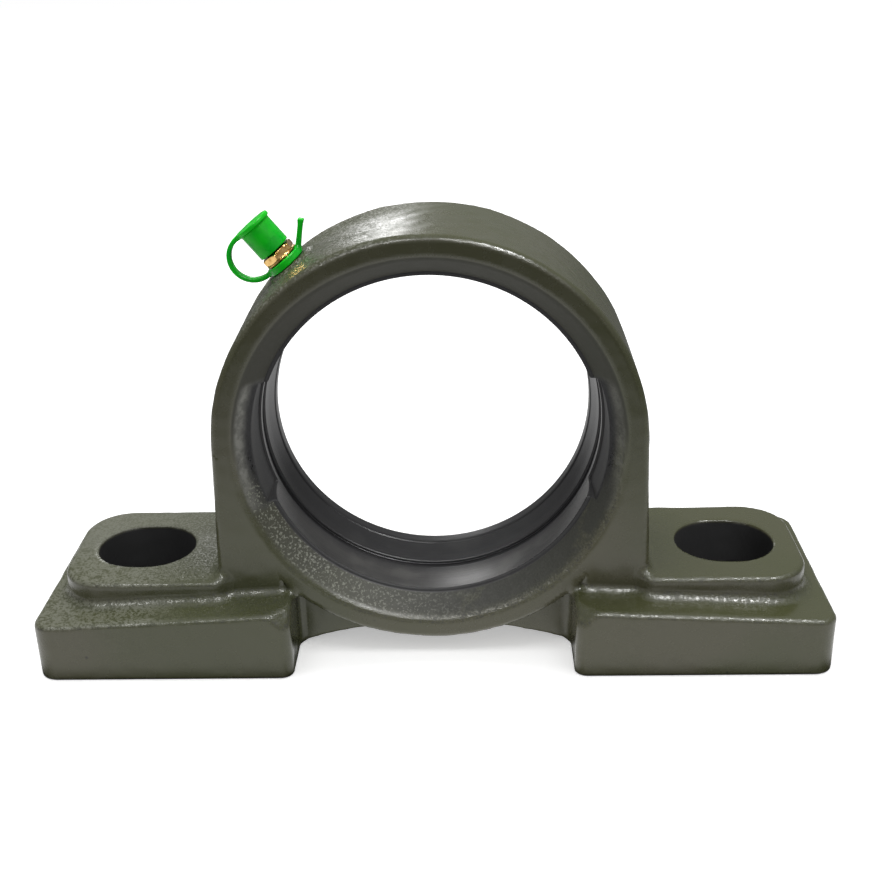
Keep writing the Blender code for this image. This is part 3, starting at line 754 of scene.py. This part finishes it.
def strap_ring():
    low = (-STRAP_OFFSET, -RING_OUTER, RING_LOW)
    high = (TAIL_END[0] + 2 * TAIL_HALF_THICK, RING_OUTER, TAIL_END[1] + 2 * TAIL_HALF_THICK)
    return nipple_solid("moulded_strap_ring", ring_distance, low, high)


def cap_strap():
    """A flat strap bent in a half circle from the lid's lug to the ring's, and its two ends."""
    low = (RING_LOW + RING_HIGH) / 2
    high = CAP_TOP - STRAP_THICK / 2
    radius = (high - low) / 2
    path = [Vector((-STRAP_OFFSET + STRAP_OVERLAP, 0.0, low))]
    steps = 48
    for i in range(steps + 1):
        angle = -pi / 2 - pi * i / steps
        path.append(Vector((-STRAP_OFFSET + radius * cos(angle), 0.0, low + radius + radius * sin(angle))))
    path.append(Vector((-STRAP_OFFSET + STRAP_OVERLAP, 0.0, high)))
    half_wide = STRAP_WIDTH * STRAP_FIT / 2
    half_thick = STRAP_THICK * STRAP_FIT / 2
    strap = sweep("moulded_strap", path, Vector((0, 1, 0)), half_wide, half_thick, STRAP_CORNER)
    start = NIPPLE_FRAME @ Vector((-STRAP_OFFSET, 0.0, low + STRAP_THICK))
    end = NIPPLE_FRAME @ Vector((-STRAP_OFFSET, 0.0, high - STRAP_THICK))
    return strap, start, end


# ------------------------------------------------------------ node helpers
class Nodes:
    """The node tree of a material or a world, with short ways to add to it."""

    def __init__(self, owner, shader="Principled BSDF"):
        owner.use_nodes = True
        self.owner = owner
        self.tree = owner.node_tree
        self.shader = self.tree.nodes[shader]
        self.coordinates = self.add("ShaderNodeTexCoord").outputs
        self.place = self.coordinates["Object"]

    def add(self, kind, **settings):
        node = self.tree.nodes.new(kind)
        for key, value in settings.items():
            setattr(node, key, value)
        return node

    def link(self, source, target):
        """Feeds a socket from another socket, a number or a colour."""
        if hasattr(source, "links"):
            self.tree.links.new(source, target)
        elif isinstance(source, tuple):
            target.default_value = (*source, 1.0)
        else:
            target.default_value = source

    def feed(self, node, *sources):
        """Feeds a node's first sockets in order."""
        for source, target in zip(sources, node.inputs):
            self.link(source, target)
        return node.outputs[0]

    def fill(self, node, **sources):
        """Feeds a node's sockets by name."""
        for key, source in sources.items():
            self.link(source, node.inputs[key.replace("_", " ")])
        return node.outputs

    def math(self, operation, a, b=0.0):
        return self.feed(self.add("ShaderNodeMath", operation=operation), a, b)

    def size(self, value):
        return self.math("ABSOLUTE", value)

    def rest(self, share):
        return self.math("SUBTRACT", 1.0, share)

    def product(self, first, *others):
        for other in others:
            first = self.math("MULTIPLY", first, other)
        return first

    def largest(self, first, *others):
        for other in others:
            first = self.math("MAXIMUM", first, other)
        return first

    def hypot(self, a, b):
        squares = self.math("ADD", self.math("MULTIPLY", a, a), self.math("MULTIPLY", b, b))
        return self.math("SQRT", squares)

    def noise(self, scale, detail=3.0, roughness=0.6, where=None):
        node = self.add("ShaderNodeTexNoise")
        vector = where or self.place
        return self.fill(node, Vector=vector, Scale=scale, Detail=detail, Roughness=roughness)["Fac"]

    def voronoi(self, scale, feature="F1"):
        node = self.add("ShaderNodeTexVoronoi", feature=feature)
        return self.fill(node, Vector=self.place, Scale=scale)["Distance"]

    def remap(self, value, from_low, from_high, to_low=0.0, to_high=1.0):
        node = self.add("ShaderNodeMapRange", interpolation_type="SMOOTHSTEP")
        return self.feed(node, value, from_low, from_high, to_low, to_high)

    def mix(self, share, a, b):
        node = self.add("ShaderNodeMix", data_type="RGBA")
        return self.fill(node, Factor=share, A=a, B=b)["Result"]

    def mix_value(self, share, a, b):
        node = self.add("ShaderNodeMix", data_type="FLOAT")
        return self.fill(node, Factor=share, A=a, B=b)["Result"]

    def split(self, source):
        node = self.add("ShaderNodeSeparateXYZ")
        self.feed(node, source)
        return node.outputs

    def facing(self):
        """The surface normal's X, Y and Z, in the model's frame."""
        return self.split(self.add("ShaderNodeNewGeometry").outputs["Normal"])

    def combine(self, x, y, z):
        return self.feed(self.add("ShaderNodeCombineXYZ"), x, y, z)

    def bump(self, height, distance, strength=1.0, after=None):
        node = self.add("ShaderNodeBump")
        if after is not None:
            self.link(after, node.inputs["Normal"])
        return self.fill(node, Height=height, Distance=distance, Strength=strength)["Normal"]

    def finish(self, **sources):
        """Feeds the shader's sockets and returns the material or the world."""
        for key, source in sources.items():
            name = key.replace("_", " ").title().replace("Ior", "IOR")
            self.link(source, self.shader.inputs[name])
        return self.owner


def material_nodes(name):
    return Nodes(bpy.data.materials.new(name))


def paint(piece, material, replaced, body=None):
    """Gives a piece its material, finish and body, and hides the solid it stands for."""
    piece.data.materials.clear()
    piece.data.materials.append(material)
    if body:
        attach(piece, body)
    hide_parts(replaced)


# ------------------------------------------------------------ materials
OLIVE = (0.062, 0.066, 0.030)
OLIVE_BROWN = (0.078, 0.075, 0.044)
OLIVE_PAINTED_SHADE = (0.040, 0.041, 0.018)
OLIVE_RING = (0.052, 0.060, 0.018)
UPPER_FLARE_PAINTED_SHADE = (0.026, 0.026, 0.020)
OLIVE_LOWER_FLARE = (0.030, 0.031, 0.016)
HOLLOW_GRAIN = (0.014, 0.014, 0.012)
GRAIN_PEAK_PAINTED_HIGHLIGHT = (0.22, 0.22, 0.185)
PAINTED_SHADE_SPECKLE = (0.008, 0.008, 0.008)
PAINTED_GLINT_SPECKLE = (0.50, 0.50, 0.48)
FLARE_PAINTED_GLINTS = (0.34, 0.35, 0.28)
FOOT_PAINTED_SHEEN = (0.34, 0.34, 0.30)
BOSS_PAINTED_SHEEN = (0.26, 0.26, 0.245)
CRESCENT_PAINTED_SHEEN = (0.13, 0.13, 0.115)
CRESCENT_PAINTED_SHEEN_LIGHT = (0.24, 0.24, 0.215)
CRESCENT_PAINTED_SHADE = (0.012, 0.012, 0.013)
SOOT = (0.016, 0.016, 0.018)
PIT = (0.014, 0.014, 0.010)
IRON = (0.066, 0.064, 0.058)
IRON_DARK = (0.030, 0.029, 0.032)
IRON_LIGHT_PATCH = (0.12, 0.118, 0.11)
IRON_PAINTED_SHADE_BEHIND = (0.012, 0.012, 0.014)
SHADED = (0.006, 0.006, 0.007)


class CastZones:
    """The places on the casting whose finish differs, as masks from 0 to 1."""

    def __init__(self, n):
        self.x, self.y, self.z = x, y, z = n.split(n.place)
        self.nx, self.ny, self.nz = n.facing()
        self.up = up = n.math("SUBTRACT", z, AXIS_HEIGHT)
        self.radius = radius = n.hypot(x, up)
        off_axis = n.size(up)
        self.left = n.remap(x, 0.012, -0.026)
        self.low = n.remap(up, -0.004, -0.012)

        # machined and unpainted
        on_sphere = n.remap(n.hypot(radius, y), SEAT_RADIUS + 0.0012, SEAT_RADIUS + 0.0009)
        in_bore = n.remap(radius, POCKET_RADIUS + 0.0004, POCKET_RADIUS + 0.0002)
        behind_front = n.remap(y, SEAT_FRONT - 0.0004, SEAT_FRONT - 0.0002)
        before_back = n.remap(y, 0.0144, 0.0138)
        self.seat = n.product(in_bore, on_sphere, behind_front, before_back)
        self.bare = n.largest(self.seat, n.remap(z, 0.0004, 0.0002))

        # the flare round the front of the bore
        in_mouth = n.remap(radius, FLARE_MOUTH + 0.0004, FLARE_MOUTH - 0.0002)
        before_seat = n.remap(y, SEAT_FRONT, SEAT_FRONT - 0.0004)
        self.flare = flare = n.product(in_mouth, before_seat, n.remap(y, -0.0148, -0.0141))
        self.off_flare = n.rest(flare)
        self.upper_flare = n.product(flare, n.remap(up, -0.004, 0.006))
        inside_lip = n.remap(radius, FLARE_MOUTH - 0.0003, FLARE_MOUTH - 0.0012)
        self.lower_flare = n.product(flare, self.low, inside_lip)
        self.scorched = n.product(flare, n.rest(self.left), self.low)
        beside = n.remap(off_axis, POCKET_HALF_HEIGHT + 0.0016, POCKET_HALF_HEIGHT - 0.0004)
        beside = n.product(beside, n.remap(radius, FLARE_MOUTH - 0.0002, FLARE_MOUTH - 0.0010))
        self.crescent = n.product(flare, beside)

        # upward faces, the ring's rim and the bosses
        self.upward = n.remap(self.nz, 0.25, 0.7)
        self.on_ring = n.remap(radius, RING_RADIUS - 0.0009, RING_RADIUS - 0.0005)
        self.boss_top = n.remap(z, BOSS_TOP - 0.0006, BOSS_TOP - 0.0002)
        self.band = n.product(self.on_ring, n.remap(n.size(y), 0.0138, 0.0128),
                              n.remap(up, -0.034, -0.030))
        near_ring = n.remap(x, -0.066, -0.050)
        self.left_top = n.product(self.left, self.upward, n.mix_value(near_ring, 0.45, 1.0),
                                  self.off_flare)
        # where the speckles of painted glints and painted shade go: the left boss's top and the ring's
        # crown
        on_boss = n.product(self.boss_top, n.remap(y, -0.017, -0.004))
        on_crown = n.product(self.on_ring, n.remap(up, 0.018, 0.030), 0.45)
        glint_speckle_zone = n.product(n.remap(x, 0.006, -0.010), n.largest(on_boss, on_crown))
        self.glint_speckle_zone = n.product(glint_speckle_zone, self.upward, near_ring)
        self.shaded = self.deep_places(n, off_axis)

    def deep_places(self, n, off_axis):
        """Where the light hardly reaches: slots, pockets and the seat's front corner."""
        straight = (SLOT_LENGTH - SLOT_WIDTH) / 2
        from_bolt = n.size(n.math("SUBTRACT", n.size(self.x), BOLT_OFFSET))
        past = n.math("MAXIMUM", n.math("SUBTRACT", from_bolt, straight), 0.0)
        slot = n.remap(n.hypot(past, self.y), SLOT_WIDTH / 2 + 0.0005, SLOT_WIDTH / 2 + 0.0001)
        slot = n.product(slot, n.remap(self.z, BOSS_TOP - 0.0002, BOSS_TOP - 0.0009))
        pocket = n.product(n.remap(off_axis, POCKET_HALF_HEIGHT + 0.0001, POCKET_HALF_HEIGHT - 0.0001),
                           n.remap(self.y, POCKET_FLOOR + 0.0002, POCKET_FLOOR - 0.0002),
                           n.remap(self.radius, POCKET_RADIUS + 0.0004, POCKET_RADIUS + 0.0001))
        wall = n.product(n.remap(off_axis, POCKET_HALF_HEIGHT - 0.0002, POCKET_HALF_HEIGHT),
                         n.remap(off_axis, POCKET_HALF_HEIGHT + 0.0003, POCKET_HALF_HEIGHT + 0.0001),
                         n.remap(n.size(self.nz), 0.7, 0.9), n.remap(self.y, 0.0004, -0.0002),
                         n.remap(self.radius, POCKET_RADIUS + 0.0004, POCKET_RADIUS))
        from_front = n.size(n.math("SUBTRACT", self.y, SEAT_FRONT))
        line = n.product(n.remap(from_front, 0.00035, 0.0001),
                         n.remap(self.radius, POCKET_RADIUS, SEAT_RADIUS))
        return n.largest(slot, n.product(pocket, 0.92), wall, n.product(line, 0.8))


def roughened(n, at, patches):
    """How rough the sand left the skin: most on edges, fillets and the left foot's top."""
    flatness = n.largest(n.size(at.nx), n.size(at.ny), n.size(at.nz))
    rounded = n.remap(flatness, 0.9985, 0.95)
    calm = n.rest(n.product(at.band, n.mix_value(at.left, 0.95, 0.25)))
    edges = n.product(rounded, calm, n.remap(at.z, 0.026, 0.020), n.remap(at.nz, 0.1, 0.3),
                      at.off_flare, 0.8)
    lower = n.product(at.flare, at.low, 0.35)
    rough_flare = n.product(n.largest(at.crescent, at.scorched, lower), 0.9)
    rough = n.largest(edges, n.product(rounded, 0.12), n.product(at.left_top, calm), rough_flare,
                      n.product(patches, 0.12))
    return n.product(rough, n.rest(at.bare))


def olive_coat(n, at, rough, sand, grain, pits):
    """Olive drifting to grey brown, dark in the sand's hollows, with painted shade, painted highlights,
    glints and sheen in places.
    """
    olive = n.mix(n.remap(n.noise(26.0, 3.0, 0.55), 0.38, 0.66), OLIVE, OLIVE_BROWN)
    # painted shade: upright faces from the cheeks up to the ring's crown made darker, standing in for the
    # light falling there
    upright_painted_shade = n.product(n.remap(n.size(at.ny), 0.9, 0.98), n.remap(at.z, 0.022, 0.060), 0.55)
    olive = n.mix(upright_painted_shade, olive, OLIVE_PAINTED_SHADE)
    olive = n.mix(n.product(n.remap(grain, 0.50, 0.42), rough, 0.7), olive, HOLLOW_GRAIN)
    # painted highlight: the grain's peaks lighter where the skin is rough
    olive = n.mix(n.product(n.remap(grain, 0.53, 0.60), rough, 0.4), olive, GRAIN_PEAK_PAINTED_HIGHLIGHT)
    # painted shade and painted glints: dark and bright speckles on the left boss's top and the ring's
    # crown
    olive = n.mix(n.product(at.glint_speckle_zone, n.remap(sand, 0.52, 0.46), 0.9), olive, PAINTED_SHADE_SPECKLE)
    olive = n.mix(n.product(at.glint_speckle_zone, n.remap(sand, 0.53, 0.58)), olive, PAINTED_GLINT_SPECKLE)

    # painted sheen in grey on the tops of the left foot and the left boss, the ring's greener rim
    far_left = n.product(n.remap(at.x, -0.050, -0.062), at.upward, n.remap(grain, 0.44, 0.54))
    olive = n.mix(n.product(far_left, 0.7), olive, FOOT_PAINTED_SHEEN)
    left_boss = n.product(n.remap(at.x, -0.040, -0.044), at.upward, at.boss_top)
    olive = n.mix(n.product(left_boss, n.remap(at.y, -0.008, 0.003), 0.55), olive, BOSS_PAINTED_SHEEN)
    olive = n.mix(n.product(at.on_ring, at.upward, 0.6), olive, OLIVE_RING)

    # the flare: painted shade at its top, a painted grey sheen beside the pockets with painted shade next
    # to them, scorched low on the right, darker olive low down, painted glints low on the left
    olive = n.mix(n.product(at.upper_flare, 0.75), olive, UPPER_FLARE_PAINTED_SHADE)
    # painted sheen: grey on the flare beside the pockets, stronger on the left
    grey = n.mix(n.remap(n.noise(420.0), 0.38, 0.64), CRESCENT_PAINTED_SHEEN, CRESCENT_PAINTED_SHEEN_LIGHT)
    olive = n.mix(n.product(at.crescent, n.mix_value(at.left, 0.35, 1.0)), olive, grey)
    # painted shade: the crescent goes near black close to the pockets
    olive = n.mix(n.product(at.crescent, n.remap(at.radius, 0.0386, 0.0370)), olive, CRESCENT_PAINTED_SHADE)
    sooty = n.product(at.scorched, n.remap(at.radius, FLARE_MOUTH - 0.0004, FLARE_MOUTH - 0.0018),
                      n.remap(n.noise(140.0), 0.32, 0.46), 0.9)
    olive = n.mix(sooty, olive, SOOT)
    olive = n.mix(n.product(at.lower_flare, 0.55), olive, OLIVE_LOWER_FLARE)
    # painted glints: light speckles low on the flare's left
    olive = n.mix(n.product(at.lower_flare, at.left, n.remap(sand, 0.55, 0.62), 0.6), olive,
                  FLARE_PAINTED_GLINTS)
    return n.mix(n.product(pits, 0.75), olive, PIT)


def cast_paint():
    """Glossy olive paint over sand-cast iron, bare dark iron in the seat."""
    n = material_nodes("olive_paint_on_cast_iron")
    at = CastZones(n)
    sand = n.noise(1900.0, 2.0, 0.6)
    grain = n.mix_value(0.4, sand, n.noise(620.0))
    patches = n.remap(n.noise(70.0), 0.46, 0.66)
    pits = n.product(n.remap(n.voronoi(110.0), 0.05, 0.02), n.remap(n.noise(90.0, 1.0, 0.5), 0.50, 0.56))
    rough = roughened(n, at, patches)

    # colour
    turned = n.combine(n.product(at.y, 4200.0), n.product(at.radius, 900.0), 0.0)
    lathe = n.noise(1.0, 3.0, 0.6, turned)
    # lighter, rougher patches towards the bottom of the seat
    low_seat_patches = n.product(n.remap(n.noise(120.0), 0.42, 0.66), n.remap(at.up, -0.020, -0.032))
    iron = n.mix(n.remap(lathe, 0.3, 0.7), IRON_DARK, IRON)
    iron = n.mix(n.product(low_seat_patches, 0.6), iron, IRON_LIGHT_PATCH)
    # painted shade: the seat darker behind the groove, where its sphere turns away from the light
    iron = n.mix(n.product(n.remap(at.y, -0.0010, 0.0030), 0.8), iron, IRON_PAINTED_SHADE_BEHIND)
    colour = n.mix(at.bare, olive_coat(n, at, rough, sand, grain, pits), iron)
    colour = n.mix(at.shaded, colour, SHADED)

    # relief too fine for the mesh
    normal = n.bump(grain, 0.00016, n.math("ADD", rough, n.product(patches, 0.03)))
    normal = n.bump(n.voronoi(480.0, "SMOOTH_F1"), 0.00012, n.product(rough, 0.5), normal)
    normal = n.bump(pits, 0.00012, n.product(-1.0, pits), normal)
    normal = n.bump(n.noise(330.0, 2.0, 0.5), 0.00004, n.rest(at.bare), normal)
    normal = n.bump(lathe, 0.00003, at.seat, normal)

    # roughness
    smooth = n.remap(n.noise(240.0), 0.3, 0.7, 0.20, 0.30)
    gloss = n.mix_value(rough, smooth, n.remap(grain, 0.44, 0.56, 0.62, 0.24))
    gloss = n.mix_value(at.bare, gloss, n.mix_value(low_seat_patches, 0.34, 0.46))
    dull_back = n.product(at.on_ring, at.upward, at.left, n.remap(at.y, 0.001, 0.009))
    dull = n.largest(at.shaded, n.product(at.upper_flare, 0.8), n.product(at.lower_flare, 0.8), dull_back)
    gloss = n.mix_value(dull, gloss, 0.75)
    return n.finish(base_color=colour, roughness=gloss, normal=normal,
                    metallic=n.product(at.bare, n.rest(at.shaded), 0.35))


def brass():
    """Turned brass with fine tool marks."""
    n = material_nodes("turned_brass")
    tone = n.noise(700.0)
    colour = n.mix(n.remap(tone, 0.35, 0.65), (0.42, 0.23, 0.06), (0.75, 0.50, 0.20))
    marks = n.noise(2600.0, 2.0, 0.5)
    return n.finish(base_color=colour, metallic=1.0,
                    roughness=n.remap(tone, 0.3, 0.7, 0.10, 0.18),
                    normal=n.bump(marks, 0.00002, 0.5))


def green_plastic(name):
    """Soft green polyethylene that lets a little light in."""
    n = material_nodes(name)
    cloud = n.noise(300.0, 3.0, 0.5)
    colour = n.mix(n.remap(cloud, 0.35, 0.65), (0.0, 0.52, 0.02), (0.0, 0.64, 0.008))
    skin = n.noise(2200.0)
    return n.finish(base_color=colour, roughness=n.remap(cloud, 0.3, 0.7, 0.24, 0.34),
                    subsurface_weight=0.3, subsurface_scale=0.0015, specular_ior_level=0.25,
                    normal=n.bump(skin, 0.00003, 0.5))


def steel(name, tone, roughness):
    """Bright steel, its roughness rising by half where the marks are deep."""
    n = material_nodes(name)
    marks = n.noise(3000.0, 2.0, 0.5)
    colour = n.mix(n.remap(marks, 0.3, 0.7), tuple(0.85 * c for c in tone), tone)
    return n.finish(base_color=colour, metallic=1.0,
                    roughness=n.remap(marks, 0.3, 0.7, roughness, roughness * 1.5))


# ------------------------------------------------------------ stage
ROOM_LOW = 0.30           # the room's light at the horizon and overhead
ROOM_HIGH = 0.70
ROOM_FULL = 0.9           # the upward share of a direction where it is brightest
FLOOR_GLOW = 0.42
FLOOR_HEIGHT = -0.0001
SHEET_HEIGHT = -0.0003
SHEET_NEAR = (0.03, 1.15)     # the sheet's distance from the base, and its glow there
SHEET_FAR = (0.22, 0.12)

# name, place, width, depth, watts, seen in gloss, lights matt faces
LAMPS = (
    ("overhead", (0.36, -0.32, 0.82), 0.30, 0.06, 8.0, True, False),
    ("front_strip", (0.0, -0.60, 0.72), 1.1, 0.05, 6.5, True, False),
    ("back_left", (-0.15, 0.95, 0.27), 0.13, 0.40, 0.6, True, False),
    ("top", (0.0, 0.1, 0.9), 0.9, 0.9, 6.5, False, True),
)

CAMERA_ELEVATION = radians(24.08)
CAMERA_TURN = radians(1.34)
CAMERA_ROLL = radians(-1.2)
CAMERA_TARGET = Vector((0.00301, 0.0, 0.04228))
CAMERA_DISTANCE = 0.26813
CAMERA_LENS = 50.83


def studio_world():
    """White for the camera; for the object a soft room, bright above and dim in front."""
    world = bpy.data.worlds.new("studio")
    bpy.context.scene.world = world
    n = Nodes(world, "Background")
    rise = n.split(n.coordinates["Generated"])[2]
    room = n.remap(rise, 0.0, ROOM_FULL, ROOM_LOW, ROOM_HIGH)
    seen = n.add("ShaderNodeLightPath").outputs["Is Camera Ray"]
    n.finish(color=(1.0, 1.0, 1.0), strength=n.mix_value(seen, room, 1.0))


def softbox(name, place, wide, deep, power, gloss, diffuse):
    """A rectangular lamp that faces the object."""
    light = bpy.data.lights.new(name, "AREA")
    light.shape = "RECTANGLE"
    light.size = wide
    light.size_y = deep
    light.energy = power
    lamp = placed(name, light)
    lamp.location = place
    aim = Vector((0, 0, AXIS_HEIGHT)) - Vector(place)
    lamp.rotation_euler = aim.to_track_quat("-Z", "Y").to_euler()
    lamp.visible_camera = False
    lamp.visible_glossy = gloss
    lamp.visible_diffuse = diffuse


def plane(name, n, colour, glow, height):
    """A wide matt sheet that gives off light of its own."""
    bpy.ops.mesh.primitive_plane_add(size=12.0)
    piece = bpy.context.object
    piece.name = name
    piece.location.z = height
    white = (1.0, 1.0, 1.0)
    piece.data.materials.append(n.finish(base_color=colour, roughness=0.9, specular_ior_level=0.0,
                                         emission_color=white, emission_strength=glow))
    return piece


def stage():
    """A white floor for the camera, over a sheet that throws light back at the object."""
    n = material_nodes("pale_floor")
    colour = n.mix(n.noise(9.0, 2.0, 0.5), (0.90, 0.90, 0.90), (0.92, 0.92, 0.92))
    floor = plane("floor", n, colour, FLOOR_GLOW, FLOOR_HEIGHT)
    floor.visible_diffuse = False
    floor.visible_glossy = False

    n = material_nodes("white_sheet")
    x, y, _ = n.split(n.place)
    past_x = n.math("MAXIMUM", n.math("SUBTRACT", n.size(x), HALF_LENGTH), 0.0)
    past_y = n.math("MAXIMUM", n.math("SUBTRACT", n.size(y), HALF_DEPTH), 0.0)
    away = n.hypot(past_x, past_y)
    # painted shade in the sheet's glow: none under the feet and the web, in place of the shade they cast
    in_arch = n.product(n.remap(n.size(x), ARCH_HALF_SPAN, ARCH_HALF_SPAN - 0.003),
                        n.remap(n.size(y), WEB_HALF_DEPTH, WEB_HALF_DEPTH + 0.003))
    uncovered = n.math("MAXIMUM", n.remap(away, 0.0, 0.006), in_arch)
    fading = n.remap(away, SHEET_FAR[0], SHEET_NEAR[0], SHEET_FAR[1], SHEET_NEAR[1])
    sheet = plane("sheet", n, (0.05, 0.05, 0.05), n.product(uncovered, fading), SHEET_HEIGHT)
    sheet.visible_camera = False

    studio_world()
    for lamp in LAMPS:
        softbox(*lamp)
    bpy.context.scene.view_settings.view_transform = "Standard"


def camera():
    """A long lens in front, above and a touch to the right."""
    level, turn, roll = CAMERA_ELEVATION, CAMERA_TURN, CAMERA_ROLL
    back = Vector((sin(turn) * cos(level), -cos(turn) * cos(level), sin(level)))
    right = Vector((cos(turn), sin(turn), 0.0))
    up = back.cross(right)
    tilted_right = right * cos(roll) + up * sin(roll)
    tilted_up = up * cos(roll) - right * sin(roll)
    data = bpy.data.cameras.new("camera")
    data.sensor_width = 36.0
    data.lens = CAMERA_LENS
    data.clip_start = 0.01
    data.clip_end = 20.0
    eye = placed("camera", data)
    matrix = Matrix((tilted_right, tilted_up, back)).transposed().to_4x4()
    matrix.translation = CAMERA_TARGET + back * CAMERA_DISTANCE
    eye.matrix_world = matrix
    bpy.context.scene.camera = eye


# ------------------------------------------------------------ build
def main():
    camera()
    stage()
    paint(cast_housing(), cast_paint(), "housing", "base")
    paint(grease_nipple(), brass(), "nipple_body", "base")
    ball_finish = steel("polished_ball_steel", (0.6, 0.6, 0.62), 0.12)
    paint(check_ball(), ball_finish, "nipple_check_ball", "check_ball")

    spring = ball_spring()
    spring_finish = steel("drawn_spring_wire", (0.45, 0.45, 0.47), 0.28)
    paint(spring, spring_finish, "nipple_spring")
    start = NIPPLE_FRAME @ Vector((0, 0, THREAD_END + CRIMP_LENGTH))
    end = NIPPLE_FRAME @ Vector((0, 0, BALL_HEIGHT - BALL_RADIUS))
    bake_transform(spring)

    paint(dust_cap(), green_plastic("green_polyethylene_cap"), "dust_cap", "cap")
    plastic = green_plastic("green_polyethylene_strap")
    paint(strap_ring(), plastic, "cap_strap_ring", "tether")
    strap, start, end = cap_strap()
    paint(strap, plastic, "cap_strap")
    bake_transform(strap)


main()
